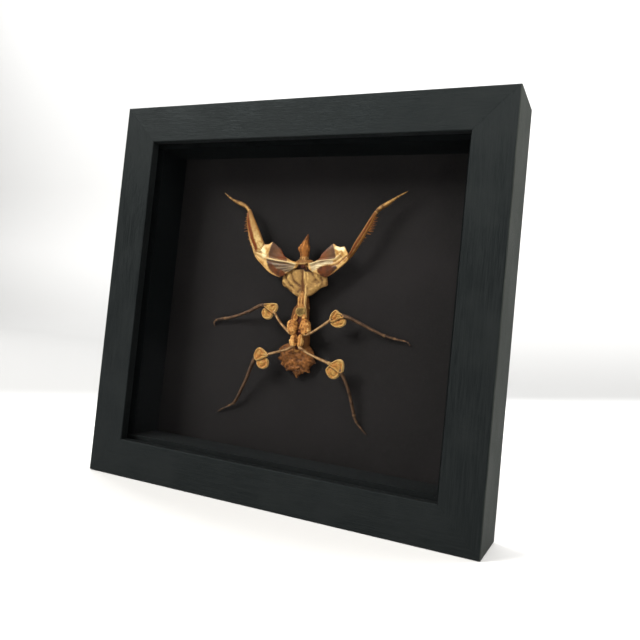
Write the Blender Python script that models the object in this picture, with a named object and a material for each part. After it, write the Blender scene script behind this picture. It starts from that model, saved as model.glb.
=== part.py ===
"""A dried flower mantis, belly outwards, in a deep black box frame with a glass front.

The frame stands on its lower edge and faces -Y. Its origin is the middle of its foot. Sizes are
written in millimetres, and MM makes them metres. A point of the specimen is (across, off, up):
across from the frame's centre line, off from the board's face towards the glass, and up from the
frame's mid height.
"""
import math

import bmesh
import bpy
from mathutils import Matrix, Vector

MM = 0.001

# Driving dimensions of the frame
FRAME_WIDTH = 200.0
FRAME_HEIGHT = 191.0
FRAME_DEPTH = 33.0
RAIL_FACE = 18.6
RAIL_WALL = 12.0
LIP_DEPTH = 4.8
OUTER_ROUND = 0.8
LIP_ROUND = 0.5
MITRE_GAP = 0.25
FIT_GAP = 0.3
GLASS_PLAY = 0.5
GLASS_THICKNESS = 2.0
LINING_INSET = 20.6
BOARD_FACE = 28.4
BOARD_THICKNESS = 1.4
BACKING_THICKNESS = 2.0

# Driving dimensions of the fittings on the back
TAB_LENGTH = 9.0
TAB_WIDTH = 6.0
TAB_THICKNESS = 0.4
TAB_SPREAD = 0.27
HANGER_LENGTH = 46.0
HANGER_HEIGHT = 8.4
HANGER_THICKNESS = 0.8
HANGER_RISE = 1.0
HANGER_DROP = 6.2
HANGER_FLAT = 9.0
TOOTH_COUNT = 9
TOOTH_DEPTH = 1.3
TOOTH_RUN = 24.0
NAIL_SPACING = 37.0
NAIL_SHANK = 0.7
NAIL_HEAD = 1.9
NAIL_CROWN = 0.7
NAIL_LENGTH = 9.0
NAIL_CLEARANCE = 0.3

BACK_PROUD = FIT_GAP + HANGER_THICKNESS + HANGER_RISE
FRONT_Y = -(FRAME_DEPTH + BACK_PROUD) / 2
MID_HEIGHT = FRAME_HEIGHT / 2

# The body, as stations of (across, off, up, half width, half depth)
HEAD = (
    (1.1, 5.4, 18.6, 2.1, 1.8),
    (0.9, 5.8, 22.4, 2.1, 1.8),
    (0.8, 6.0, 25.2, 2.6, 2.0),
    (0.4, 6.2, 27.5, 3.1, 2.1),
    (0.8, 6.3, 29.0, 2.1, 1.8),
    (1.0, 6.3, 31.0, 1.5, 1.4),
    (1.5, 6.3, 33.2, 0.8, 0.8),
    (1.8, 6.3, 34.7, 0.3, 0.3),
)
COLLAR = (
    (-3.7, 5.8, 19.8, 0.6, 0.6),
    (-1.8, 6.1, 20.6, 1.3, 1.2),
    (1.0, 6.3, 20.9, 1.5, 1.5),
    (4.0, 6.1, 21.2, 1.3, 1.2),
    (5.8, 5.8, 20.9, 0.6, 0.6),
)
THORAX = (
    (1.8, 4.6, 6.0, 1.9, 2.2),
    (2.0, 4.6, 3.2, 2.5, 2.5),
    (2.0, 4.4, 1.2, 2.9, 2.7),
    (1.85, 4.2, -1.4, 3.5, 2.9),
    (1.1, 4.1, -4.4, 4.4, 3.0),
    (1.0, 4.1, -7.6, 4.7, 3.1),
    (1.6, 4.1, -11.2, 5.2, 3.1),
    (1.9, 4.0, -15.5, 5.0, 3.0),
    (1.9, 3.8, -19.2, 5.0, 2.9),
    (1.5, 3.6, -22.4, 3.2, 2.4),
)
KEEL = (
    (1.6, 6.4, 19.0, 0.5, 0.6),
    (1.9, 6.9, 16.5, 0.7, 0.8),
    (2.4, 7.0, 12.0, 0.75, 0.9),
    (2.8, 6.8, 7.5, 0.65, 0.8),
    (2.9, 6.3, 3.4, 0.5, 0.6),
)
COXAE = (
    ((-1.4, 7.2, -7.7), (-1.2, 7.2, -15.2), 2.65, 2.1),
    ((5.2, 7.2, -7.1), (6.0, 7.2, -14.9), 2.65, 2.1),
    ((0.5, 6.7, -14.8), (-0.2, 6.7, -20.9), 2.1, 1.9),
    ((3.5, 6.7, -14.5), (3.5, 6.7, -21.1), 1.4, 1.8),
)
SHOULDER_BUMPS = (
    ((0.2, 6.7, -4.9), (-0.7, 6.7, -8.2), 1.2, 1.3),
    ((4.1, 6.7, -4.7), (4.6, 6.7, -7.8), 1.1, 1.3),
    ((2.1, 6.2, -8.3), (2.2, 6.2, -10.3), 0.8, 1.0),
    ((2.3, 6.2, -10.9), (2.2, 6.2, -13.6), 0.9, 1.0),
)
ABDOMEN_BUMPS = (
    ((-5.4, 5.2, -22.6), (-4.6, 5.4, -25.8), 1.5, 1.0),
    ((-0.8, 5.5, -23.0), (-0.6, 5.7, -26.8), 1.7, 1.2),
    ((4.2, 5.4, -23.0), (4.4, 5.5, -26.6), 1.6, 1.1),
    ((-3.8, 5.2, -27.0), (-3.4, 5.0, -29.6), 1.4, 1.0),
    ((1.4, 5.5, -27.2), (1.5, 5.2, -30.6), 1.6, 1.1),
    ((5.6, 5.1, -27.4), (5.9, 4.8, -29.8), 1.3, 1.0),
)

# Flat growths, as pairs of outline points (across, up) on two facing edges
SHIELD_OFF = 5.4
SHIELD = (
    ((-3.6, 19.6), (4.8, 20.0)),
    ((-7.2, 17.2), (9.6, 17.6)),
    ((-9.7, 14.4), (13.2, 15.0)),
    ((-10.5, 11.2), (14.3, 12.4)),
    ((-9.6, 8.7), (14.2, 10.1)),
    ((-7.2, 7.5), (10.8, 8.5)),
    ((-4.3, 5.5), (7.2, 5.4)),
    ((-0.9, 3.5), (4.2, 3.8)),
)
NECK_BLOCK_OFF = 6.3
NECK_BLOCK = (
    ((-0.2, 4.6), (4.4, 4.8)),
    ((-0.4, 2.8), (4.5, 3.0)),
    ((-0.3, 0.4), (4.6, 0.6)),
    ((0.2, -1.0), (4.4, -0.8)),
)
DIAMOND_OFF = 6.85
DIAMOND = (
    ((0.5, -1.7), (4.0, -1.4)),
    ((-0.5, -2.6), (4.6, -2.2)),
    ((-0.4, -4.3), (4.6, -4.2)),
    ((0.8, -5.5), (3.8, -5.5)),
    ((1.8, -6.2), (2.8, -6.2)),
)
ABDOMEN_OFF = 3.1
ABDOMEN = (
    ((-3.0, -18.6), (5.6, -18.4)),
    ((-7.4, -20.9), (8.2, -20.9)),
    ((-9.1, -22.4), (9.6, -22.6)),
    ((-8.4, -25.4), (9.3, -25.2)),
    ((-9.0, -28.0), (11.0, -27.3)),
    ((-6.4, -29.6), (9.3, -29.1)),
    ((-6.0, -31.2), (8.3, -30.6)),
    ((-4.3, -32.8), (8.0, -32.5)),
    ((-2.6, -31.9), (5.4, -31.8)),
    ((-0.6, -33.4), (4.2, -33.4)),
    ((1.2, -35.7), (2.2, -35.7)),
)

# Grasping forelegs: a broad plate at the body, a tapering femur, and a thin tibia to the tip
LEFT_PLATE = (
    ((-0.8, 20.2), (-2.6, 17.4)),
    ((-5.5, 21.2), (-5.6, 16.0)),
    ((-9.6, 23.3), (-8.2, 13.8)),
    ((-11.9, 26.7), (-11.2, 12.6)),
    ((-16.7, 30.0), (-15.5, 13.8)),
    ((-18.9, 28.9), (-18.5, 15.5)),
    ((-21.4, 28.7), (-21.7, 18.2)),
    ((-23.2, 28.0), (-24.6, 20.6)),
    ((-24.8, 26.6), (-26.4, 22.6)),
)
LEFT_FEMUR = (
    ((-22.0, 25.4), (-26.8, 22.9)),
    ((-21.4, 28.7), (-28.2, 26.4)),
    ((-22.7, 31.5), (-30.0, 30.2)),
    ((-24.0, 34.2), (-31.3, 34.4)),
    ((-26.4, 38.2), (-32.4, 38.6)),
    ((-28.7, 42.2), (-32.8, 42.2)),
    ((-30.9, 46.2), (-32.7, 45.6)),
)
LEFT_TIBIA = (
    (-31.7, 7.6, 45.2, 0.9),
    (-34.1, 7.2, 47.6, 0.9),
    (-37.0, 6.8, 49.0, 0.9),
    (-40.6, 6.4, 50.3, 0.8),
    (-43.4, 6.0, 51.5, 0.45),
    (-46.3, 5.6, 53.2, 0.38),
    (-49.2, 5.2, 55.2, 0.2),
)
LEFT_SPINES = (
    ((-32.0, 43.6), (-33.6, 43.9)),
    ((-31.8, 41.6), (-33.8, 41.9)),
    ((-31.6, 39.7), (-34.0, 39.9)),
    ((-31.2, 37.8), (-34.1, 37.9)),
    ((-30.8, 36.2), (-34.0, 36.3)),
    ((-30.4, 34.8), (-33.7, 34.7)),
    ((-29.0, 30.0), (-31.0, 31.0)),
)
RIGHT_PLATE = (
    ((3.6, 20.4), (4.6, 17.2)),
    ((6.8, 21.1), (7.1, 15.9)),
    ((9.5, 22.9), (10.6, 14.7)),
    ((11.0, 25.7), (13.9, 13.9)),
    ((15.8, 30.3), (16.2, 15.2)),
    ((18.0, 29.3), (18.4, 16.9)),
    ((20.1, 28.9), (20.7, 18.9)),
    ((21.9, 29.3), (22.7, 20.7)),
    ((23.4, 27.2), (24.0, 22.1)),
    ((24.4, 25.4), (24.8, 23.6)),
)
RIGHT_FEMUR = (
    ((23.6, 24.2), (24.7, 23.2)),
    ((25.2, 26.6), (27.0, 26.1)),
    ((26.4, 29.6), (28.8, 28.9)),
    ((27.8, 32.4), (30.8, 32.1)),
    ((29.4, 35.2), (32.0, 34.8)),
    ((31.6, 39.2), (34.0, 38.6)),
    ((33.8, 43.2), (35.6, 42.4)),
    ((35.6, 46.4), (36.9, 45.6)),
)
RIGHT_TIBIA = (
    (35.9, 7.6, 45.4, 0.9),
    (37.4, 7.3, 47.5, 0.9),
    (39.4, 7.0, 49.0, 0.9),
    (42.2, 6.6, 51.0, 0.85),
    (44.2, 6.3, 52.6, 0.5),
    (46.9, 6.0, 54.4, 0.38),
    (49.8, 5.7, 56.2, 0.2),
)
RIGHT_SPINES = (
    ((35.0, 43.2), (37.6, 43.4)),
    ((34.6, 41.6), (37.5, 41.6)),
    ((34.0, 40.0), (37.1, 39.8)),
    ((33.4, 38.6), (36.6, 38.1)),
    ((32.8, 37.4), (36.0, 36.7)),
    ((32.0, 36.2), (34.8, 35.4)),
    ((29.6, 32.6), (32.0, 32.0)),
)
PLATE_OFF = 7.3
FEMUR_OFF = 7.9
SPINE_OFF = 8.16
SPINE_ROOT = 0.4
SPINE_TIP = 0.12

# Walking legs: femur and shin as (across, off, up, half width), the knee's upper lobe as a pair
# of edges, and its lower lobe as (across, off, up, half width, half height)
LOBE_OFF = 8.07
WALKING_LEGS = {
    "middle_left": {
        "femur": ((-2.2, 7.6, -14.4, 0.9), (-5.6, 8.2, -11.6, 0.75), (-8.3, 8.4, -9.0, 0.7), (-12.0, 8.2, -4.4, 0.8)),
        "shin": (
            (-16.6, 8.0, -1.7, 0.75),
            (-20.2, 7.6, -2.4, 0.65),
            (-27.2, 5.4, -5.5, 0.55),
            (-34.0, 3.6, -8.0, 0.5),
            (-40.4, 2.2, -9.8, 0.5),
            (-47.9, 1.4, -11.3, 0.38),
            (-50.2, 1.1, -13.1, 0.35),
            (-49.6, 0.9, -15.0, 0.22),
        ),
        "lobe": (
            ((-18.6, -1.4), (-18.5, -2.2)),
            ((-15.0, -0.8), (-15.6, -3.6)),
            ((-12.2, -0.6), (-13.2, -5.0)),
            ((-10.5, -0.8), (-11.9, -5.9)),
            ((-10.0, -2.0), (-11.0, -4.4)),
        ),
        "disc": (-15.8, 7.1, -5.8, 3.2, 3.1),
    },
    "middle_right": {
        "femur": ((5.8, 7.6, -14.6, 0.9), (8.8, 8.0, -13.6, 0.75), (13.5, 8.3, -10.4, 0.7), (19.4, 8.2, -5.8, 0.85)),
        "shin": (
            (23.4, 8.0, -3.6, 0.8),
            (26.0, 7.9, -4.0, 0.65),
            (29.0, 7.0, -4.9, 0.6),
            (34.2, 5.0, -7.2, 0.55),
            (39.4, 3.6, -9.4, 0.5),
            (44.2, 2.4, -11.2, 0.45),
            (49.4, 1.6, -12.2, 0.38),
            (54.6, 1.1, -12.9, 0.32),
            (56.1, 0.9, -14.3, 0.22),
        ),
        "lobe": (
            ((18.3, -5.4), (18.3, -6.9)),
            ((18.8, -3.4), (19.4, -7.4)),
            ((20.0, -1.9), (20.6, -7.0)),
            ((21.3, -1.3), (22.0, -6.2)),
            ((23.2, -2.6), (23.8, -5.2)),
            ((25.5, -3.4), (25.6, -4.5)),
        ),
        "disc": (22.6, 7.1, -7.1, 3.9, 2.5),
    },
    "hind_left": {
        "femur": ((0.4, 7.2, -20.6, 0.9), (-3.1, 7.8, -22.7, 0.75), (-6.6, 8.0, -23.9, 0.7), (-14.6, 8.1, -26.6, 0.85)),
        "shin": (
            (-18.6, 8.0, -28.0, 0.8),
            (-20.3, 7.9, -29.6, 0.65),
            (-22.9, 6.8, -35.2, 0.6),
            (-25.8, 5.4, -41.7, 0.55),
            (-31.6, 2.6, -51.9, 0.5),
            (-34.4, 1.7, -54.2, 0.4),
            (-40.1, 1.2, -57.4, 0.32),
            (-42.0, 0.9, -58.9, 0.22),
        ),
        "lobe": (
            ((-20.1, -26.4), (-20.4, -28.9)),
            ((-19.5, -24.0), (-18.8, -29.8)),
            ((-17.1, -23.3), (-16.4, -28.7)),
            ((-14.6, -24.5), (-14.4, -27.7)),
            ((-12.6, -25.8), (-12.6, -26.8)),
        ),
        "disc": (-15.7, 7.1, -30.5, 3.5, 3.1),
    },
    "hind_right": {
        "femur": ((3.4, 7.2, -20.8, 0.9), (7.2, 7.8, -22.6, 0.75), (11.0, 8.0, -24.1, 0.7), (20.8, 8.1, -27.0, 0.9)),
        "shin": (
            (25.8, 8.0, -28.4, 0.8),
            (27.0, 7.9, -31.0, 0.65),
            (28.6, 7.0, -34.0, 0.6),
            (30.2, 5.6, -38.4, 0.55),
            (31.8, 4.0, -44.2, 0.5),
            (33.1, 2.6, -49.9, 0.48),
            (34.3, 1.8, -53.0, 0.4),
            (37.1, 1.2, -56.0, 0.32),
            (38.9, 0.9, -57.8, 0.22),
        ),
        "lobe": (
            ((19.2, -26.2), (19.2, -27.2)),
            ((21.4, -26.2), (21.6, -28.8)),
            ((23.0, -25.3), (23.4, -29.6)),
            ((24.6, -24.4), (25.2, -30.4)),
            ((26.8, -24.7), (27.2, -30.9)),
            ((27.7, -26.0), (27.8, -28.6)),
        ),
        "disc": (22.2, 7.1, -30.6, 3.7, 3.4),
    },
}

COLOURS = {
    "frame_black": ((0.030, 0.031, 0.031), 0.5, 0.0),
    "clear_glass": ((0.90, 0.95, 0.93), 0.03, 0.0),
    "lining_black": ((0.012, 0.012, 0.013), 0.8, 0.0),
    "charcoal_card": ((0.022, 0.021, 0.022), 0.9, 0.0),
    "backing_brown": ((0.16, 0.10, 0.06), 0.75, 0.0),
    "plated_steel": ((0.55, 0.54, 0.52), 0.35, 1.0),
    "dried_mantis": ((0.42, 0.25, 0.10), 0.55, 0.0),
}


def clear_scene():
    for thing in list(bpy.data.objects):
        bpy.data.objects.remove(thing, do_unlink=True)


def material(name):
    """The named surface, made once and shared."""
    made = bpy.data.materials.get(name)
    if made:
        return made
    colour, roughness, metallic = COLOURS[name]
    made = bpy.data.materials.new(name)
    made.use_nodes = True
    surface = made.node_tree.nodes["Principled BSDF"]
    surface.inputs["Base Color"].default_value = (*colour, 1.0)
    surface.inputs["Roughness"].default_value = roughness
    surface.inputs["Metallic"].default_value = metallic
    return made


def solid(name, rings, surface, smooth_angle=None):
    """A closed form through rings of points in millimetres, with a flat cap on each end."""
    mesh = bpy.data.meshes.new(name)
    form = bmesh.new()
    loops = [[form.verts.new(Vector(point) * MM) for point in ring] for ring in rings]
    for near, far in zip(loops, loops[1:]):
        for index in range(len(near)):
            after = (index + 1) % len(near)
            form.faces.new((near[index], near[after], far[after], far[index]))
    form.faces.new(loops[0])
    form.faces.new(loops[-1])
    bmesh.ops.recalc_face_normals(form, faces=form.faces)
    form.to_mesh(mesh)
    form.free()
    if smooth_angle:
        mesh.shade_smooth()
        mesh.set_sharp_from_angle(angle=math.radians(smooth_angle))
    thing = bpy.data.objects.new(name, mesh)
    thing.data.materials.append(material(surface))
    bpy.context.scene.collection.objects.link(thing)
    return thing


def depth_y(depth):
    """World Y of a depth behind the frame's front face, in millimetres."""
    return FRONT_Y + depth


def combined(thing, others, operation):
    """The thing after one Boolean with all of the others, which are used up."""
    group = bpy.data.collections.new("joined")
    bpy.context.scene.collection.children.link(group)
    for other in others:
        bpy.context.scene.collection.objects.unlink(other)
        group.objects.link(other)
    join = thing.modifiers.new("join", "BOOLEAN")
    join.operation = operation
    join.solver = "EXACT"
    join.operand_type = "COLLECTION"
    join.collection = group
    evaluated = thing.evaluated_get(bpy.context.evaluated_depsgraph_get())
    mesh = bpy.data.meshes.new_from_object(evaluated)
    thing.modifiers.clear()
    thing.data = mesh
    for other in others:
        bpy.data.objects.remove(other, do_unlink=True)
    bpy.data.collections.remove(group)


def tidied(thing, reach):
    """Merges the points of a mesh that lie within reach of each other, in millimetres."""
    form = bmesh.new()
    form.from_mesh(thing.data)
    bmesh.ops.triangulate(form, faces=form.faces)
    bmesh.ops.remove_doubles(form, verts=form.verts, dist=reach * MM)
    bmesh.ops.dissolve_degenerate(form, edges=form.edges, dist=reach * MM / 10)
    form.to_mesh(thing.data)
    form.free()


def quarter_round(inset, depth, radius, start, steps=3):
    """Points (inset, depth) round a corner, from the start angle through a quarter turn."""
    points = []
    for step in range(steps + 1):
        angle = math.radians(start + 90 * step / steps)
        points.append((inset + radius * math.cos(angle), depth + radius * math.sin(angle)))
    return points


def rail_profile():
    """The moulding's section as (inset from the outer edge, depth from the front)."""
    outer = quarter_round(OUTER_ROUND, OUTER_ROUND, OUTER_ROUND, 180)
    inner = quarter_round(RAIL_FACE - LIP_ROUND, LIP_ROUND, LIP_ROUND, 270)
    return [
        *outer,
        *inner,
        (RAIL_FACE, LIP_DEPTH),
        (RAIL_WALL, LIP_DEPTH),
        (RAIL_WALL, FRAME_DEPTH),
        (0.0, FRAME_DEPTH),
    ]


def rail(name, length, half_span, turn):
    """A mitred length of moulding, turned about Y to its side of the frame."""
    shift = MITRE_GAP / math.sqrt(2)
    rotation = Matrix.Rotation(math.radians(turn), 3, "Y")
    rings = []
    for end in (-1, 1):
        ring = []
        for inset, depth in rail_profile():
            along = end * (length / 2 - inset - shift)
            corner = rotation @ Vector((along, depth_y(depth), half_span - inset))
            ring.append(corner + Vector((0, 0, MID_HEIGHT)))
        rings.append(ring)
    return solid(name, rings, "frame_black", 40)


def slab(name, half_width, low, high, depth, thickness, surface, across=0.0):
    """A flat rectangular sheet between two heights, at a depth behind the front."""
    rings = []
    for y in (depth_y(depth), depth_y(depth + thickness)):
        rings.append([
            (across - half_width, y, low),
            (across + half_width, y, low),
            (across + half_width, y, high),
            (across - half_width, y, high),
        ])
    return solid(name, rings, surface)


def turned(name, profile, across, up, surface, sides=12):
    """A round form about a Y axis, from (radius, world Y) pairs."""
    rings = []
    for radius, y in profile:
        rings.append([
            (
                across + radius * math.cos(2 * math.pi * side / sides),
                y,
                up + radius * math.sin(2 * math.pi * side / sides),
            )
            for side in range(sides)
        ])
    return solid(name, rings, surface, 50)


def build_rails():
    nail_holes = []
    for across in (-NAIL_SPACING / 2, NAIL_SPACING / 2):
        hole = NAIL_SHANK + NAIL_CLEARANCE
        mouth = (hole, depth_y(FRAME_DEPTH + 1))
        bottom = (hole, depth_y(FRAME_DEPTH - NAIL_LENGTH - FIT_GAP))
        nail_holes.append(turned("nail_hole", (bottom, mouth), across, FRAME_HEIGHT - HANGER_DROP, "frame_black"))
    top = rail("frame_rail_top", FRAME_WIDTH, FRAME_HEIGHT / 2, 0)
    combined(top, nail_holes, "DIFFERENCE")
    rail("frame_rail_right", FRAME_HEIGHT, FRAME_WIDTH / 2, 90)
    rail("frame_rail_bottom", FRAME_WIDTH, FRAME_HEIGHT / 2, 180)
    rail("frame_rail_left", FRAME_HEIGHT, FRAME_WIDTH / 2, 270)


def build_sheets():
    """The glass, and the card and board behind the specimen, which fill the rebate."""
    margin = RAIL_WALL + GLASS_PLAY
    half_width = FRAME_WIDTH / 2 - margin
    low = margin
    high = FRAME_HEIGHT - margin
    slab("glass_pane", half_width, low, high, LIP_DEPTH + FIT_GAP, GLASS_THICKNESS, "clear_glass")
    slab("mount_board", half_width, low, high, BOARD_FACE, BOARD_THICKNESS, "charcoal_card")
    backing = BOARD_FACE + BOARD_THICKNESS + FIT_GAP
    slab("backing_board", half_width, low, high, backing, BACKING_THICKNESS, "backing_brown")


def build_linings():
    """Four strips round the inside, from the glass back to the mount board."""
    start = LIP_DEPTH + GLASS_THICKNESS + 2 * FIT_GAP
    run = BOARD_FACE - FIT_GAP - start
    outer = RAIL_WALL + FIT_GAP
    thickness = LINING_INSET - outer
    half_width = FRAME_WIDTH / 2 - outer
    for name, low in (("lining_bottom", outer), ("lining_top", FRAME_HEIGHT - LINING_INSET)):
        slab(name, half_width, low, low + thickness, start, run, "lining_black")
    low = LINING_INSET + FIT_GAP
    high = FRAME_HEIGHT - low
    centre = FRAME_WIDTH / 2 - outer - thickness / 2
    for name, across in (("lining_left", -centre), ("lining_right", centre)):
        slab(name, thickness / 2, low, high, start, run, "lining_black", across)


def build_tabs():
    """Six bendable steel points that hold the backing board in."""
    depth = BOARD_FACE + BOARD_THICKNESS + BACKING_THICKNESS + 2 * FIT_GAP
    spread = FRAME_WIDTH * TAB_SPREAD
    places = (
        ("backing_tab_top_left", -spread, FRAME_HEIGHT / 2, 0),
        ("backing_tab_top_right", spread, FRAME_HEIGHT / 2, 0),
        ("backing_tab_right", 0, FRAME_WIDTH / 2, 90),
        ("backing_tab_bottom_right", -spread, FRAME_HEIGHT / 2, 180),
        ("backing_tab_bottom_left", spread, FRAME_HEIGHT / 2, 180),
        ("backing_tab_left", 0, FRAME_WIDTH / 2, 270),
    )
    for name, along, half_span, turn in places:
        rotation = Matrix.Rotation(math.radians(turn), 3, "Y")
        root = half_span - RAIL_WALL - FIT_GAP
        rings = []
        for y in (depth_y(depth), depth_y(depth + TAB_THICKNESS)):
            flat = [(along - TAB_WIDTH / 2, root), (along + TAB_WIDTH / 2, root)]
            for step in range(7):
                angle = math.pi * step / 6
                flat.append((
                    along + TAB_WIDTH / 2 * math.cos(angle),
                    root - TAB_LENGTH + TAB_WIDTH / 2 - TAB_WIDTH / 2 * math.sin(angle),
                ))
            ring = [rotation @ Vector((x, y, z)) + Vector((0, 0, MID_HEIGHT)) for x, z in flat]
            rings.append(ring)
        solid(name, rings, "plated_steel")


def hanger_lift(across):
    """How far the hanger stands off its flat ends at a place along it."""
    ramp = 2.0
    inward = HANGER_LENGTH / 2 - HANGER_FLAT - abs(across)
    return HANGER_RISE * min(max(inward / ramp, 0.0), 1.0)


def build_hanger():
    """A toothed steel hanger nailed across the back of the top rail."""
    face = depth_y(FRAME_DEPTH + FIT_GAP)
    centre = FRAME_HEIGHT - HANGER_DROP
    edge = HANGER_LENGTH / 2
    bend = edge - HANGER_FLAT
    stops = [-edge, -bend, -bend + 2]
    stops += [-TOOTH_RUN / 2 + TOOTH_RUN * step / (2 * TOOTH_COUNT) for step in range(2 * TOOTH_COUNT + 1)]
    stops += [bend - 2, bend, edge]
    rings = []
    for across in stops:
        tooth = round((across + TOOTH_RUN / 2) * 2 * TOOTH_COUNT / TOOTH_RUN)
        cut = TOOTH_DEPTH if abs(across) <= TOOTH_RUN / 2 and tooth % 2 else 0.0
        near = face + hanger_lift(across)
        low = centre - HANGER_HEIGHT / 2 + cut
        high = centre + HANGER_HEIGHT / 2
        rings.append([
            (across, near, low),
            (across, near + HANGER_THICKNESS, low),
            (across, near + HANGER_THICKNESS, high),
            (across, near, high),
        ])
    hanger = solid("hanger", rings, "plated_steel")
    holes = []
    for name, across in (("hanger_nail_left", -NAIL_SPACING / 2), ("hanger_nail_right", NAIL_SPACING / 2)):
        hole = NAIL_SHANK + NAIL_CLEARANCE
        holes.append(turned("hole", ((hole, face - 1), (hole, face + 2)), across, centre, "plated_steel"))
        head = face + HANGER_THICKNESS + FIT_GAP / 2
        point = depth_y(FRAME_DEPTH - NAIL_LENGTH)
        profile = (
            (0.15, point),
            (NAIL_SHANK, point + 1.2),
            (NAIL_SHANK, head),
            (NAIL_HEAD, head),
            (NAIL_HEAD * 0.85, head + NAIL_CROWN * 0.6),
            (NAIL_HEAD * 0.4, head + NAIL_CROWN),
        )
        turned(name, profile, across, centre, "plated_steel")
    combined(hanger, holes, "DIFFERENCE")


def on_board(point):
    """World place, in millimetres, of a point (across, off, up) on the board."""
    across, off, up = point
    return Vector((across, depth_y(BOARD_FACE) - off, MID_HEIGHT + up))


def limb(stations, sides):
    """A tube through (across, off, up, half width, half depth), rounded over at both ends."""
    rings = []
    last = len(stations) - 1
    for index, station in enumerate(stations):
        centre = Vector(station[:3])
        half_width = station[3]
        half_depth = station[4] if len(station) > 4 else half_width
        before = Vector(stations[max(index - 1, 0)][:3])
        after = Vector(stations[min(index + 1, last)][:3])
        along = (after - before).normalized()
        side = Vector((-along.z, 0, along.x)).normalized()
        rise = along.cross(side)
        ring = []
        for step in range(sides):
            angle = 2 * math.pi * step / sides
            offset = side * (half_width * math.cos(angle)) + rise * (half_depth * math.sin(angle))
            ring.append(on_board(centre + offset))
        rings.append(ring)
    return solid("growth", rings, "dried_mantis")


def leaf(edges, off, depths, sides, ridge=1.0):
    """A flat form between two edges; depths are half thicknesses, ridge raises its middle."""
    rings = []
    for (first, second), half_depth in zip(edges, depths):
        centre = (Vector(first) + Vector(second)) / 2
        reach = (Vector(first) - Vector(second)) / 2
        ring = []
        for step in range(sides):
            angle = 2 * math.pi * step / sides
            spot = centre + reach * math.cos(angle)
            crown = ridge + (1 - ridge) * abs(math.cos(angle))
            ring.append(on_board((spot.x, off + half_depth * math.sin(angle) * crown, spot.y)))
        rings.append(ring)
    return solid("growth", rings, "dried_mantis")


def rounded(first, second, half_width, half_depth, sides=8, steps=5):
    """An egg-shaped form between two ends."""
    start = Vector(first)
    end = Vector(second)
    stations = []
    for step in range(steps + 1):
        turn = math.pi * (0.06 + 0.88 * step / steps)
        place = start.lerp(end, (1 - math.cos(turn)) / 2)
        swell = math.sin(turn)
        stations.append((*place, half_width * swell, half_depth * swell))
    return limb(stations, sides)


def disc(across, off, up, half_width, half_height):
    """A knee's round lower lobe."""
    edges = []
    depths = []
    for step in range(7):
        turn = math.pi * (0.07 + 0.86 * step / 6)
        x = across - half_width * math.cos(turn)
        reach = half_height * math.sin(turn)
        edges.append(((x, up + reach), (x, up - reach)))
        depths.append(0.35 + 0.75 * math.sin(turn))
    return leaf(edges, off, depths, 10)


def spine(root, tip, off):
    """A tooth of a grasping foreleg, from inside the femur out to its point."""
    (root_across, root_up), (tip_across, tip_up) = root, tip
    stations = ((root_across, off, root_up, SPINE_ROOT), (tip_across, off, tip_up, SPINE_TIP))
    return limb(stations, 4)


def body_growths():
    shield_depths = (1.6, 1.7, 1.8, 1.9, 1.9, 1.9, 1.9, 1.8)
    abdomen_depths = (2.2, 2.6, 2.75, 2.75, 2.75, 2.5, 2.3, 1.8, 1.5, 1.1, 0.5)
    growths = [
        limb(THORAX, 12),
        leaf(SHIELD, SHIELD_OFF, shield_depths, 16, 1.0),
        limb(HEAD, 10),
        limb(COLLAR, 8),
        limb(KEEL, 6),
        leaf(NECK_BLOCK, NECK_BLOCK_OFF, (0.5, 1.0, 1.0, 0.5), 8),
        leaf(DIAMOND, DIAMOND_OFF, (0.5, 1.1, 1.2, 0.9, 0.4), 8),
        leaf(ABDOMEN, ABDOMEN_OFF, abdomen_depths, 14),
    ]
    growths += [rounded(*coxa, sides=10, steps=6) for coxa in COXAE]
    growths += [rounded(*bump, sides=6, steps=4) for bump in SHOULDER_BUMPS]
    growths += [rounded(*bump, sides=6, steps=4) for bump in ABDOMEN_BUMPS]
    return growths


def foreleg_growths():
    growths = []
    sides = (
        (LEFT_PLATE, LEFT_FEMUR, LEFT_TIBIA, LEFT_SPINES, 1.3),
        (RIGHT_PLATE, RIGHT_FEMUR, RIGHT_TIBIA, RIGHT_SPINES, 2.0),
    )
    for plate, femur, tibia, spines, femur_depth in sides:
        plate_depths = [1.2] + [1.15] * (len(plate) - 2) + [0.9]
        femur_depths = [femur_depth * (1 - 0.45 * index / (len(femur) - 1)) for index in range(len(femur))]
        growths.append(leaf(plate, PLATE_OFF, plate_depths, 10))
        growths.append(leaf(femur, FEMUR_OFF, femur_depths, 8))
        growths.append(limb(tibia, 6))
        growths += [spine(root, tip, SPINE_OFF) for root, tip in spines]
    return growths


def walking_leg_growths():
    growths = []
    for leg in WALKING_LEGS.values():
        lobe_depths = [0.8] + [1.15] * (len(leg["lobe"]) - 2) + [0.8]
        growths.append(limb(leg["femur"], 6))
        growths.append(limb(leg["shin"], 6))
        growths.append(leaf(leg["lobe"], LOBE_OFF, lobe_depths, 8))
        growths.append(disc(*leg["disc"]))
    return growths


def build_mantis():
    """The whole specimen as one solid, its legs and lobes grown from its body."""
    growths = body_growths() + foreleg_growths() + walking_leg_growths()
    mantis = growths[0]
    combined(mantis, growths[1:], "UNION")
    tidied(mantis, 0.02)
    mantis.name = "mantis"
    mantis.data.name = "mantis"
    mantis.data.shade_smooth()
    mantis.data.set_sharp_from_angle(angle=math.radians(45))


def main():
    clear_scene()
    build_rails()
    build_sheets()
    build_linings()
    build_tabs()
    build_hanger()
    build_mantis()


main()
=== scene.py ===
"""The looks of the framed flower mantis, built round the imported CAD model.

Sizes are in millimetres and MM makes them metres. A point of the specimen is (across, off, up):
across from the frame's centre line, off from the board's face towards the glass, and up from the
frame's mid height.
"""

import math

import bmesh
import bpy
import numpy as np
from mathutils import Matrix, Vector


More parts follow.
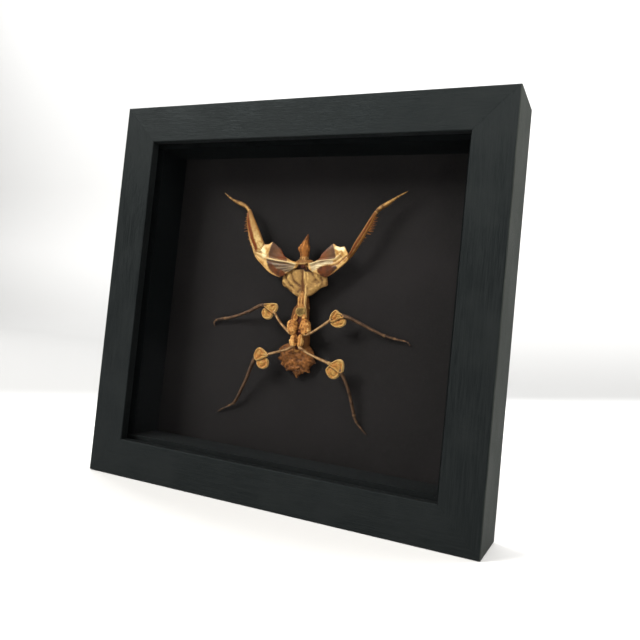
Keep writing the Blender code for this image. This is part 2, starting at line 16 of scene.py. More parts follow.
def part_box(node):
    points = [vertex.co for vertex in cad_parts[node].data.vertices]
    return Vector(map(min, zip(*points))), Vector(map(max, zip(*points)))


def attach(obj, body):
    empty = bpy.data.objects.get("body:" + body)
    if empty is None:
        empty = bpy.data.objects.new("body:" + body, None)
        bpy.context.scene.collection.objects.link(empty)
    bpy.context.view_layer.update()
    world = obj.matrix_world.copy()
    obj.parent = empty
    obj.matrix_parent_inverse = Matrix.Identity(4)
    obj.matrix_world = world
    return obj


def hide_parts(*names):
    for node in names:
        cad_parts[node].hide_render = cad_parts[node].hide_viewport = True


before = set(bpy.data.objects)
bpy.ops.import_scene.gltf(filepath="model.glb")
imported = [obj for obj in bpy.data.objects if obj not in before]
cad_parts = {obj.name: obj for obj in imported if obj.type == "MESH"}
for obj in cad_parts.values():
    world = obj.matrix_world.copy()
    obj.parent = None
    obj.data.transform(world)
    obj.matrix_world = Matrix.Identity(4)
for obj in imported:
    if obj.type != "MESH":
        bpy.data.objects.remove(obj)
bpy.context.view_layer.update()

MM = 0.001
BOARD_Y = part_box("mount_board")[0][1]
FRONT_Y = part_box("frame_rail_top")[0][1]
TOP_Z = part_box("frame_rail_top")[1][2]
MID_HEIGHT = TOP_Z / 2
FRAME_HALF = (100.0, 95.5)
GRAIN_LENGTH = 34

# Camera, from the frame's corners in the photograph
IMAGE_SIDE = 640
SENSOR_WIDTH = 36
CLIP = (0.01, 50)
FOCAL_PX = 678.48
CENTRE_PX = (290.0, 301.0)
EYE = (142.76, -278.43, -11.66)
RIGHT = (0.895, 0.43459, 0.10053)
DOWN = (0.07344, 0.07873, -0.99419)
FORWARD = (-0.43998, 0.89718, 0.03855)


def new_object(name, data):
    thing = bpy.data.objects.new(name, data)
    bpy.context.scene.collection.objects.link(thing)
    return thing


def face_outwards(mesh):
    form = bmesh.new()
    form.from_mesh(mesh)
    bmesh.ops.recalc_face_normals(form, faces=form.faces)
    form.to_mesh(mesh)
    form.free()


def build_camera():
    lens = bpy.data.cameras.new("camera")
    camera = new_object("camera", lens)
    turn = Matrix((Vector(RIGHT), -Vector(DOWN), -Vector(FORWARD))).transposed().to_4x4()
    turn.translation = Vector((EYE[0] * MM, FRONT_Y + EYE[1] * MM, MID_HEIGHT + EYE[2] * MM))
    camera.matrix_world = turn
    lens.sensor_width = SENSOR_WIDTH
    lens.lens = FOCAL_PX * SENSOR_WIDTH / IMAGE_SIDE
    lens.shift_x = (IMAGE_SIDE / 2 - CENTRE_PX[0]) / IMAGE_SIDE
    lens.shift_y = (CENTRE_PX[1] - IMAGE_SIDE / 2) / IMAGE_SIDE
    lens.clip_start, lens.clip_end = CLIP
    bpy.context.scene.camera = camera


# Material nodes
def srgb(red, green, blue):
    """A linear colour from the 0 to 255 values of a picture."""
    linear = []
    for value in (red, green, blue):
        value = value / 255
        linear.append(value / 12.92 if value <= 0.04045 else ((value + 0.055) / 1.055) ** 2.4)
    return (*linear, 1.0)


class Paint:
    """A material and short names for the nodes that colour it.

    What feeds a node is another's output, the name of a mark, a number, a linear colour with its
    alpha, or a colour as three values from 0 to 255.
    """

    def __init__(self, name):
        self.material = bpy.data.materials.new(name)
        self.material.use_nodes = True
        self.tree = self.material.node_tree
        self.surface = self.tree.nodes["Principled BSDF"]
        self.coordinates = self.make("TexCoord", "Object", {})

    def make(self, kind, output, values, **settings):
        """Adds a node and returns one of its outputs."""
        node = self.tree.nodes.new("ShaderNode" + kind)
        for name, setting in settings.items():
            setattr(node, name, setting)
        for name, value in values.items():
            self.feed(node.inputs[name], value)
        return node.outputs[output]

    def feed(self, socket, value):
        if isinstance(value, str):
            value = self.make("Attribute", "Fac", {}, attribute_name=value)
        if isinstance(value, bpy.types.NodeSocket):
            self.tree.links.new(value, socket)
        elif isinstance(value, tuple) and len(value) == 3:
            socket.default_value = srgb(*value)
        else:
            socket.default_value = value

    def axis(self, name):
        return self.make("SeparateXYZ", name, {0: self.coordinates})

    def noise(self, size, detail=4.0, roughness=0.55, stretch=(1, 1, 1), distortion=0.0):
        """Soft noise whose features are about size millimetres, longer where stretch is over 1."""
        scale = [1 / (size * MM * by) for by in stretch]
        place = self.make("Mapping", "Vector", {"Vector": self.coordinates, "Scale": scale})
        values = {"Vector": place, "Scale": 1.0, "Detail": detail, "Roughness": roughness}
        return self.make("TexNoise", "Fac", {**values, "Distortion": distortion})

    def math(self, operation, *values):
        return self.make("Math", 0, dict(enumerate(values)), operation=operation)

    def step(self, value, low, high, start=0.0, end=1.0):
        """Goes smoothly from start to end while value goes from low to high."""
        values = {"Value": value, "From Min": low, "From Max": high, "To Min": start, "To Max": end}
        return self.make("MapRange", "Result", values, interpolation_type="SMOOTHSTEP")

    def mix(self, factor, first, second):
        return self.make("Mix", 2, {0: factor, 6: first, 7: second}, data_type="RGBA")

    def lay(self, under, over, value, low, high, start=0.0, end=1.0):
        """Lays one colour over another by a share that follows a value, as step has it."""
        return self.mix(self.step(value, low, high, start, end), under, over)

    def ragged(self, value, noise, reach):
        """Spreads a value by noise, over reach in all."""
        return self.math("ADD", value, self.math("MULTIPLY_ADD", noise, reach, -reach / 2))

    def bump(self, height, depth, strength=1.0, onto=None):
        """Raises the shading by height times depth in millimetres."""
        values = {"Height": height, "Distance": depth * MM, "Strength": strength}
        if onto is not None:
            values["Normal"] = onto
        return self.make("Bump", "Normal", values)

    def done(self, colour, roughness, normal=None, gloss=0.5):
        self.surface.inputs["Specular IOR Level"].default_value = gloss
        self.feed(self.surface.inputs["Base Color"], colour)
        self.feed(self.surface.inputs["Roughness"], roughness)
        if normal is not None:
            self.feed(self.surface.inputs["Normal"], normal)
        return self.material


def painted_wood(name, stretch):
    """Black paint on open-grained wood, sheen painted on its outer sides; stretch lengthens the
    grain.
    """
    paint = Paint(name)
    paint.surface.inputs["Specular Tint"].default_value = (0.82, 0.99, 1.0, 1)
    grain = paint.noise(0.42, 5, 0.62, stretch, 0.25)
    pores = paint.noise(0.2, 2, 0.5, [by * 0.55 if by > 1 else by for by in stretch])
    wear = paint.noise(26, 4, 0.6)
    tone = paint.step(grain, 0.34, 0.7)
    base = paint.mix(tone, (0.0045, 0.0054, 0.0057, 1), (0.0095, 0.0108, 0.0110, 1))
    base = paint.lay(base, (0.0135, 0.0148, 0.0148, 1), wear, 0.42, 0.72, 0, 0.45)
    side = FRAME_HALF[0] * MM
    outer = paint.step(paint.math("ABSOLUTE", paint.axis("X")), side - 0.0006, side - 0.0001)
    # Painted sheen: on the outer sides the grain streaks are lightened, standing in for light
    # glancing off them
    sheen_streak = paint.math("MULTIPLY", outer, paint.step(grain, 0.40, 0.66, 0.45, 1.0))
    base = paint.mix(sheen_streak, base, (0.055, 0.061, 0.054, 1))
    rough = paint.math("ADD", paint.math("MULTIPLY", grain, 0.6), paint.math("MULTIPLY", wear, 0.4))
    rough = paint.step(rough, 0.35, 0.65, 0.4, 0.66)
    rough = paint.math("MULTIPLY_ADD", outer, 0.22, rough)
    normal = paint.bump(paint.step(pores, 0.36, 0.52), 0.05, 0.6)
    normal = paint.bump(grain, 0.09, 0.8, normal)
    return paint.done(base, rough, normal, gloss=0.1)


def flat_black(name, painted_lift=0.0):
    """Matt black paint with a faint tooth, its tooth greyed by painted light where light from above
    falls on it.
    """
    paint = Paint(name)
    tooth = paint.noise(0.35, 4, 0.6)
    cloud = paint.noise(18, 3, 0.5)
    base = paint.mix(cloud, (0.0027, 0.0035, 0.0038, 1), (0.0050, 0.0060, 0.0064, 1))
    # Painted light: greys the tooth by the given share, lightening a lining that light from above
    # falls on
    base = paint.lay(base, (0.020, 0.022, 0.022, 1), tooth, 0.2, 0.7, 0.5 * painted_lift, painted_lift)
    rough = paint.step(tooth, 0.3, 0.7, 0.72, 0.9)
    return paint.done(base, rough, paint.bump(tooth, 0.05, 0.7), gloss=0.03)


def charcoal_card(name):
    """Smooth dark card, a little mottled, with fine fibres."""
    paint = Paint(name)
    fibre = paint.noise(0.5, 4, 0.65, (3, 1, 1), 0.6)
    cross = paint.noise(0.5, 4, 0.65, (1, 1, 3), 0.6)
    cloud = paint.noise(45, 3, 0.5)
    tone = paint.math("MULTIPLY", paint.math("ADD", fibre, cross), 0.5)
    base = paint.lay((0.0090, 0.0083, 0.0084, 1), (0.0136, 0.0125, 0.0124, 1), tone, 0.35, 0.65)
    base = paint.lay(base, (0.0176, 0.0157, 0.0160, 1), cloud, 0.4, 0.68, 0, 0.35)
    rough = paint.step(tone, 0.35, 0.65, 0.78, 0.92)
    return paint.done(base, rough, paint.bump(tone, 0.04, 0.5), gloss=0.06)


def clear_glass(name):
    """A clean pane with the faint waviness of float glass."""
    paint = Paint(name)
    paint.surface.inputs["Transmission Weight"].default_value = 1.0
    paint.surface.inputs["IOR"].default_value = 1.12
    paint.surface.inputs["Specular Tint"].default_value = (0.04, 0.04, 0.04, 1)
    wave = paint.noise(60, 2, 0.4)
    return paint.done((0.992, 1.0, 0.996, 1), 0.0, paint.bump(wave, 0.004, 0.15), gloss=0.03)


def hardboard(name):
    """Brown pressed fibreboard."""
    paint = Paint(name)
    fibre = paint.noise(0.9, 6, 0.7, (1.6, 1, 1), 1.2)
    flecks = paint.noise(0.45, 3, 0.6)
    cloud = paint.noise(30, 3, 0.5)
    base = paint.mix(fibre, (92, 62, 40), (142, 104, 72))
    base = paint.lay(base, (62, 40, 26), flecks, 0.6, 0.72, 0, 0.6)
    base = paint.lay(base, (156, 118, 84), cloud, 0.4, 0.7, 0, 0.35)
    return paint.done(base, paint.step(fibre, 0.3, 0.7, 0.62, 0.8), paint.bump(fibre, 0.08, 0.6))


def plated_steel(name):
    """Zinc-plated sheet, slightly dulled and scuffed."""
    paint = Paint(name)
    brush = paint.noise(0.16, 4, 0.6, (9, 1, 1))
    cloud = paint.noise(2.6, 4, 0.6)
    paint.surface.inputs["Metallic"].default_value = 1.0
    base = paint.mix(cloud, (150, 150, 146), (196, 195, 188))
    base = paint.lay(base, (120, 119, 115), brush, 0.55, 0.75, 0, 0.4)
    rough = paint.step(cloud, 0.3, 0.7, 0.26, 0.44)
    return paint.done(base, rough, paint.bump(brush, 0.015, 0.6))


CUTICLE_GLOSS = 0.12
# Veins of a foreleg plate, in ripples to a radian about its root
VEIN_RATE = 44.0


def cuticle_finish(paint, colour, low=0.34, high=0.56, depth=0.06, speck=0.3):
    """Fine dried texture, shared by all parts of the specimen."""
    fine = paint.noise(speck, 4, 0.6)
    broad = paint.noise(1.3, 3, 0.5)
    rough = paint.step(broad, 0.3, 0.7, low, high)
    normal = paint.bump(fine, depth, 0.7)
    normal = paint.bump(broad, depth * 2, 0.5, normal)
    return paint.done(colour, rough, normal, CUTICLE_GLOSS)


def plate_cuticle(name):
    """The foreleg plates: cream, with brown patches, a grey web of veins, a pale rib, a painted
    highlight on the cream, and painted shade in folds and hollows.
    """
    paint = Paint(name)
    blotch = paint.noise(2.2, 4, 0.6)
    grain = paint.noise(0.45, 4, 0.6)
    cream = paint.lay((194, 158, 98), (156, 114, 58), blotch, 0.4, 0.66)
    # Painted highlight: the cream whitens near a line on each plate
    glow = paint.ragged("glow", blotch, -0.8)
    cream = paint.lay(cream, (234, 217, 166), glow, 0.3, 1.0)
    edge = paint.ragged("rim", blotch, 1.6)
    cream = paint.lay(cream, (126, 80, 34), edge, 0.0, 0.6, 0.85, 0)
    fan = paint.math("MULTIPLY", "fan", VEIN_RATE)
    vein = paint.math("SINE", paint.math("MULTIPLY_ADD", grain, 3.4, fan))
    web = paint.lay((70, 56, 42), (110, 94, 72), vein, -0.4, 1.0)
    web_pale = paint.lay((158, 136, 98), (202, 188, 150), vein, -1.0, 0.4)
    web = paint.mix("pale", web, web_pale)
    web = paint.lay(web, (96, 70, 46), blotch, 0.46, 0.7, 0, 0.6)
    web = paint.lay(web, (158, 140, 104), "root", 2.0, 9.0, 0.7, 0)
    colour = paint.lay(cream, web, paint.ragged("web", grain, 0.9), -0.35, 0.45)
    band = paint.lay((86, 42, 13), (57, 30, 13), blotch, 0.35, 0.65)
    band = paint.lay(band, (52, 38, 30), "tint", 0.5, 0.9)
    colour = paint.lay(colour, band, paint.ragged("band", grain, 0.9), -0.5, 0.5)
    patch = paint.lay((99, 44, 11), (67, 47, 35), "tint", 0.15, 0.8)
    patch = paint.lay(patch, (79, 46, 22), blotch, 0.4, 0.7, 0, 0.55)
    colour = paint.lay(colour, patch, paint.ragged("patch", grain, 0.9), -0.35, 0.3)
    border = paint.math("ABSOLUTE", paint.math("ADD", "patch", 0.1))
    colour = paint.lay(colour, (82, 68, 58), border, 0.0, 0.4, 0.45, 0)
    colour = paint.lay(colour, (196, 176, 134), "rib", 0.05, 0.5, 0.6, 0)
    # Painted shade: darker along the plate's folds
    fold_shade = paint.math("ADD", "crease", paint.math("MULTIPLY", grain, 0.4))
    colour = paint.lay(colour, (112, 68, 28), fold_shade, 0.15, 0.8, 0.85, 0)
    # Painted shade: darker where the plate's relief sinks
    colour = paint.lay(colour, (96, 64, 34), "relief", -0.7, 0.05, 0.5, 0)
    return cuticle_finish(paint, colour, 0.3, 0.5)


def femur_cuticle(name, stripe_low, stripe_high, stripe_slant, light, dark, stripe):
    """A grasping femur, with a brown stripe along it between two places across its width."""
    paint = Paint(name)
    blotch = paint.noise(1.6, 4, 0.6)
    grain = paint.noise(0.4, 4, 0.6)
    across = paint.ragged("across", grain, 0.5)
    shifted = paint.math("MULTIPLY_ADD", "along", stripe_slant, across)
    colour = paint.lay(light, dark, blotch, 0.42, 0.66)
    colour = paint.lay(colour, (138, 100, 54), "along", 0.2, 0.7, 0, 0.85)
    colour = paint.lay(colour, (124, 78, 34), paint.math("ABSOLUTE", across), 0.6, 1.0, 0, 0.8)
    first = paint.step(shifted, stripe_low - 0.2, stripe_low + 0.15)
    second = paint.step(shifted, stripe_high - 0.2, stripe_high + 0.15, 1, 0)
    begun = paint.step("along", 0.0, 0.1)
    line = paint.lay(stripe, (88, 40, 8), blotch, 0.35, 0.6)
    share = paint.math("MULTIPLY", paint.math("MULTIPLY", first, second), begun)
    colour = paint.mix(share, colour, line)
    colour = paint.lay(colour, (108, 68, 32), "along", 0.72, 1.0, 0, 0.7)
    return cuticle_finish(paint, colour, 0.3, 0.52)


def tan_cuticle(name, lit_crest, middle, shaded_hollow, blotch_size=1.2, deep_shade=(56, 24, 14)):
    """Dried cuticle with a painted highlight on its crests and rims and painted shade in its
    hollows and creases.
    """
    paint = Paint(name)
    blotch = paint.noise(blotch_size, 5, 0.62)
    fine = paint.noise(0.35, 4, 0.6)
    relief = paint.ragged("relief", blotch, 1.4)
    # Painted highlight and shade: darker where the relief sinks and lighter where it rises
    colour = paint.lay(shaded_hollow, middle, relief, -0.55, 0.1)
    colour = paint.lay(colour, lit_crest, relief, 0.1, 0.85)
    # Painted highlight: lighter along the rims
    rim = paint.math("ADD", "rim", paint.math("MULTIPLY", fine, 0.5))
    colour = paint.lay(colour, lit_crest, rim, 0.2, 0.6, 0.6, 0)
    # A darker band: a real brown strip on the shield and the head's tip, and painted shade on the
    # head's sides, the thorax's flanks and the coxae's sides that face each other
    stripe = paint.step("band", -0.35, 0.3)
    colour = paint.mix(paint.math("MULTIPLY", stripe, 0.85), colour, (78, 44, 20))
    pale = paint.step("pale", 0.2, 0.8)
    colour = paint.mix(paint.math("MULTIPLY", pale, 0.75), colour, (206, 170, 112))
    colour = paint.lay(colour, shaded_hollow, fine, 0.55, 0.8, 0, 0.35)
    # Painted shade: darkest in creases, crevices and gaps, in the colour given for them
    sunk = paint.ragged("crease", fine, 0.6)
    colour = paint.lay(colour, deep_shade, sunk, 0.0, 0.6, 1, 0)
    return cuticle_finish(paint, colour, 0.5, 0.78, 0.09)


def lobe_cuticle(name):
    """Knee lobes: golden and orange inside, with a painted highlight on rims and raised parts and
    painted shade in hollows and folds.
    """
    paint = Paint(name)
    blotch = paint.noise(2.4, 3, 0.5)
    mottle = paint.noise(0.8, 4, 0.65)
    fine = paint.noise(0.35, 4, 0.6)
    colour = paint.lay((158, 122, 64), (155, 104, 51), blotch, 0.44, 0.6)
    colour = paint.lay(colour, (120, 84, 40), mottle, 0.46, 0.68, 0, 0.7)
    # Painted highlight and shade: lighter where the relief rises and darker where it sinks
    colour = paint.lay(colour, (184, 150, 92), "relief", 0.0, 0.9, 0, 0.75)
    colour = paint.lay(colour, (120, 78, 34), "relief", -0.9, -0.1, 0.6, 0)
    # Painted highlight: lighter along the rim
    rim = paint.ragged("rim", mottle, 2.2)
    colour = paint.lay(colour, (188, 156, 104), rim, 0.0, 0.7, 0.65, 0)
    # Painted shadow: darker where a lower lobe lies under the upper one
    fold_shade = paint.ragged("crease", fine, 0.5)
    colour = paint.lay(colour, (78, 48, 17), fold_shade, 0.0, 0.9, 0.85, 0)
    return cuticle_finish(paint, colour, 0.5, 0.72, 0.1)


def limb_cuticle(name, light, dark, joint):
    """A thin leg: a painted highlight along its top and painted shade on its sides, and paler
    joints.
    """
    paint = Paint(name)
    blotch = paint.noise(2.2, 4, 0.6)
    colour = paint.lay(light, dark, blotch, 0.35, 0.68)
    # Painted highlight and shade: the dark colour gathers on the leg's sides, leaving its top and
    # underside light
    colour = paint.lay(colour, dark, paint.math("ABSOLUTE", "across"), 0.25, 0.9, 0, 0.8)
    colour = paint.lay(colour, joint, "pale", 0.2, 0.9, 0, 0.7)
    return cuticle_finish(paint, colour, 0.42, 0.62)


def backdrop_paper(name, table, far, deep_shade, wall):
    """Smooth paper: a white table, and beyond its edge a sweep greyed by painted shade that pales
    as it goes and as it rises.
    """
    paint = Paint(name)
    tooth = paint.noise(1.2, 4, 0.6)
    *slopes, edge = TABLE_EDGE
    beyond = 0.0
    for axis, slope in zip("XYZ", slopes):
        beyond = paint.math("MULTIPLY_ADD", paint.axis(axis), slope, beyond)
    # Painted shade: beyond the table's edge the paper turns grey, darkest just past the edge
    far = paint.lay(far, deep_shade, beyond, edge + 0.1, edge + 1.6)
    # Painted light from above: the grey pales as the sweep rises
    far = paint.lay(far, wall, paint.axis("Z"), 0.0, 0.3)
    base = paint.lay(table, far, beyond, edge - 0.07, edge + 0.11)
    base = paint.lay(base, (0.78, 0.78, 0.77, 1), tooth, 0.3, 0.7, 0, 0.04)
    rough = paint.step(tooth, 0.3, 0.7, 0.85, 0.95)
    return paint.done(base, rough, paint.bump(tooth, 0.02, 0.3), gloss=0.2)


def between(p0, p1, p2, p3, part):
    """The Catmull-Rom curve from p1 to p2."""
    return 0.5 * (
        2 * p1
        + (p2 - p0) * part
        + (2 * p0 - 5 * p1 + 4 * p2 - p3) * part**2
        + (3 * p1 - p0 - 3 * p2 + p3) * part**3
    )


def curve(points, count, sharp=0.0):
    """Points at even steps on a smooth curve through the given ones; sharp keeps its corners."""
    points = np.asarray(points, float)
    before = 2 * points[0] - points[1]
    after = 2 * points[-1] - points[-2]
    padded = np.vstack([before, points, after])
    place = np.linspace(0, len(points) - 1, count)
    index = np.minimum(place.astype(int), len(points) - 2)
    part = (place - index)[:, None]
    p0, p1, p2, p3 = (padded[index + step] for step in range(4))
    straight = p1 + (p2 - p1) * part
    return between(p0, p1, p2, p3, part) * (1 - sharp) + straight * sharp


def loop(points, count):
    """Points at even steps on a smooth closed curve through the given ones."""
    points = np.asarray(points, float)
    place = np.linspace(0, len(points), count, endpoint=False)
    index = place.astype(int)
    part = (place - index)[:, None]
    return between(*(points[(index + step) % len(points)] for step in (-1, 0, 1, 2)), part)


def lattice(x, y, z, seed):
    mixed = (x * 374761393 + y * 668265263 + z * 1442695041 + seed * 974711) & 0xFFFFFFFF
    mixed = ((mixed ^ (mixed >> 13)) * 1274126177) & 0xFFFFFFFF
    return ((mixed ^ (mixed >> 16)) & 0xFFFF) / 32767.5 - 1


def soft_noise(x, y, z, seed=0):
    """Smooth noise from -1 to 1 with features about one unit across."""
    cells = [np.floor(value).astype(np.int64) for value in (x, y, z)]
    parts = [value - cell for value, cell in zip((x, y, z), cells)]
    parts = [part * part * (3 - 2 * part) for part in parts]
    total = 0
    for corner in range(8):
        steps = (corner & 1, corner >> 1 & 1, corner >> 2 & 1)
        weight = 1
        for step, part in zip(steps, parts):
            weight = weight * (part if step else 1 - part)
        total = total + weight * lattice(*(cell + step for cell, step in zip(cells, steps)), seed)
    return total


def rough_noise(x, y, z, size, octaves=3, seed=0):
    """Layered noise whose broadest features are size millimetres across."""
    total = 0
    scale = 1 / size
    weight = 1
    reach = 0
    for octave in range(octaves):
        total = total + weight * soft_noise(x * scale, y * scale, z * scale, seed + octave * 17)
        reach += weight
        scale *= 2.1
        weight *= 0.5
    return total / reach


def line_distance(x, z, line):
    """Millimetres from points to a line of points (across, up)."""
    nearest = np.full(np.shape(x), 1e9)
    for (ax, az), (bx, bz) in zip(line, line[1:]):
        run = (bx - ax, bz - az)
        length = run[0] ** 2 + run[1] ** 2
        part = np.clip(((x - ax) * run[0] + (z - az) * run[1]) / length, 0, 1)
        nearest = np.minimum(nearest, np.hypot(x - ax - part * run[0], z - az - part * run[1]))
    return nearest


def patch_depth(x, z, outline):
    """Millimetres inside a closed outline, negative outside it."""
    inside = np.zeros(np.shape(x), bool)
    closed = list(outline) + [outline[0]]
    for (ax, az), (bx, bz) in zip(closed, closed[1:]):
        crosses = (az > z) != (bz > z)
        rise = bz - az if bz != az else 1e-9
        inside ^= crosses & (x < (bx - ax) * (z - az) / rise + ax)
    far = line_distance(x, z, closed)
    return np.where(inside, far, -far)


def hump(distance, width):
    return np.exp(-((distance / width) ** 2))


def near(x, z, line, width):
    """1 on a line of points (across, up), falling to nothing within about two widths."""
    return hump(line_distance(x, z, line), width)


# Marks are numbers at each point that the shaders read, in millimetres where they are distances
# One mark is the distance from folds, crevices and gaps, near which painted shade darkens the
# colour
MARKS = (
    "along", "across", "relief", "rim", "crease", "band", "pale", "patch", "web", "rib", "fan",
    "tint", "glow", "root",
)
# Farther than any line or patch that colours
FAR = 9.0
PLAIN = {"crease": FAR, "band": -FAR, "patch": -FAR, "web": -FAR, "rib": FAR, "rim": FAR}
skin = {"points": [], "faces": [], "slots": [], "marks": {name: [] for name in MARKS}, "count": 0}


def grow(points, marks, slot):
    """Adds a closed form, given as rings of (across, off, up), to the specimen's skin."""
    rows, cols = points.shape[:2]
    start = skin["count"]
    index = start + np.arange(rows * cols).reshape(rows, cols)
    turned = np.roll(index, -1, axis=1)
    quads = np.stack([index[:-1], turned[:-1], turned[1:], index[1:]], axis=-1).reshape(-1, 4)
    skin["points"].append(points.reshape(-1, 3))
    skin["faces"] += quads.tolist()
    skin["faces"] += [index[0][::-1].tolist(), index[-1].tolist()]
    skin["slots"] += [SLOTS.index(slot)] * (len(quads) + 2)
    for name in MARKS:
        values = np.broadcast_to(marks.get(name, PLAIN.get(name, 0.0)), (rows, cols))
        skin["marks"][name].append(values.reshape(-1))
    skin["count"] += rows * cols


def evened(raised):
    """Relief as a mark from -1 to 1."""
    return np.clip(raised / (np.abs(raised).max() + 1e-6), -1, 1)


def leaf(edges, off, half_depth, rows, cols, slot, relief, marks=None, sharp=0.3, power=4):
    """A flat growth between two edges, with relief on the face towards the glass."""
    first = curve([edge[0] for edge in edges], rows, sharp)
    second = curve([edge[1] for edge in edges], rows, sharp)
    along = np.linspace(0, 1, rows)[:, None]
    depth = np.interp(along, np.linspace(0, 1, len(half_depth)), half_depth)
    ends = np.clip(np.minimum(along, 1 - along) * (rows - 1) / 4, 0, 1)
    depth = depth * np.sqrt(1 - (1 - ends) ** 2 + 0.02)
    face = np.linspace(1, -1, cols // 2 + 1)[:-1]
    face = 0.45 * face + 0.55 * np.sin(face * math.pi / 2)
    across = np.concatenate([face, -face])[None, :]
    front = np.concatenate([np.ones(cols // 2), -np.ones(cols // 2)])[None, :]
    off = np.interp(along, np.linspace(0, 1, len(off)), off)
    centre = (first + second) / 2
    reach = (first - second) / 2
    x = centre[:, :1] + reach[:, :1] * across
    z = centre[:, 1:] + reach[:, 1:] * across
    crown = np.sqrt(np.clip(1 - np.abs(across) ** power, 0, 1))
    width = np.hypot(reach[:, :1], reach[:, 1:])
    length = np.hypot(*(centre[-1] - centre[0]))
    rim = np.minimum((1 - np.abs(across)) * width, np.minimum(along, 1 - along) * length + 0.15)
    raised = relief(x, z, along, across, rim)
    lift = off + front * depth * crown
    lift = lift + raised * np.where(front > 0, crown, 0.25 * crown)
    found = {"along": along, "across": across, "rim": rim, "relief": evened(raised)}
    if marks:
        found.update(marks(x, z, along, across, rim))
    grow(np.stack([x, lift, z], axis=-1), found, slot)


PAD_POWER = 2.1


def pad(outline, off, half_depth, rings, cols, slot, relief, marks=None):
    """A pillow-like growth inside a smooth closed outline of (across, up)."""
    edge = loop(outline, cols)
    centre = edge.mean(axis=0)
    turn = np.linspace(-0.485, 0.485, 2 * rings + 1)[:, None] * math.pi
    share = np.cos(turn)
    x = centre[0] + (edge[:, 0] - centre[0])[None, :] * share
    z = centre[1] + (edge[:, 1] - centre[1])[None, :] * share
    front = np.sign(turn)
    crown = (1 - share**PAD_POWER) ** (1 / PAD_POWER)
    rim = (1 - share) * np.hypot(*(edge - centre).T)[None, :]
    raised = relief(x, z, share, share, rim)
    weight = np.where(front > 0, np.clip(crown * 1.6, 0, 1), 0.2 * crown)
    lift = off + front * half_depth * crown + raised * weight
    found = {"rim": rim, "relief": evened(raised)}
    if marks:
        found.update(marks(x, z, share, share, rim))
    grow(np.stack([x, lift, z], axis=-1), found, slot)


# Rings that round off a limb's end, as shares of its radius: how wide, how far out
CLOSING = ((0.12, 0.96), (0.5, 0.8), (0.82, 0.5))
MIN_RADIUS = 0.08


def limb(stations, rows, cols, slot, relief=None, marks=None, blunt=0.6):
    """A round growth through (across, off, up, half width, half depth)."""
    table = [list(station) + [station[3]] * (5 - len(station)) for station in stations]
    path = curve(table, rows)
    path[:, 3:] = np.maximum(path[:, 3:], MIN_RADIUS)
    centre = path[:, :3]
    tangent = np.gradient(centre, axis=0)
    tangent /= np.linalg.norm(tangent, axis=1)[:, None]
    side = np.stack([-tangent[:, 2], np.zeros(rows), tangent[:, 0]], axis=1)
    side /= np.linalg.norm(side, axis=1)[:, None]
    rise = np.cross(tangent, side)
    flip = np.where(rise[:, 1] < 0, -1.0, 1.0)[:, None]
    rise *= flip

    def cap(end, way):
        for scale, back in CLOSING[::-way]:
            place = centre[end] + way * tangent[end] * path[end, 3] * back * blunt
            yield place, path[end, 3:] * scale, side[end], rise[end]

    rings = [*cap(0, -1), *zip(centre, path[:, 3:], side, rise), *cap(-1, 1)]
    spots, radii, sides, rises = (np.array(part) for part in zip(*rings))
    spots = spots[:, None]
    angle = np.linspace(0, 2 * math.pi, cols, endpoint=False)[None, :]
    across, front = np.cos(angle), np.sin(angle)
    along = np.clip((np.arange(len(rings)) - len(CLOSING)) / (rows - 1), 0, 1)[:, None]
    flat = spots + sides[:, None] * (radii[:, :1] * across)[..., None]
    flat = flat + rises[:, None] * (radii[:, 1:] * front)[..., None]
    raised = np.zeros((len(rings), cols))
    if relief is not None:
        raised = relief(flat[..., 0], flat[..., 2], along, across, front)
        outward = flat - spots
        outward /= np.linalg.norm(outward, axis=-1)[..., None] + 1e-9
        taper = np.clip(radii[:, :1] / (radii[:, :1].max() + 1e-9) * 2, 0, 1)
        flat = flat + outward * (raised * taper)[..., None]
    found = {"along": along, "across": across, "relief": evened(raised)}
    if marks:
        found.update(marks(flat[..., 0], flat[..., 2], along, across, front))
    grow(flat, found, slot)


def egg(first, second, half_width, half_depth, rows, cols, slot, relief=None, marks=None, thin=0.0):
    """An egg-shaped growth between two ends."""
    start, end = np.array(first, float), np.array(second, float)
    stations = []
    for step in range(12):
        turn = math.pi * (0.05 + 0.9 * step / 11)
        place = start + (end - start) * (1 - math.cos(turn)) / 2
        swell = math.sin(turn) ** (1 - thin)
        stations.append((*place, half_width * swell, half_depth * swell))
    limb(stations, rows, cols, slot, relief, marks, blunt=0.3)


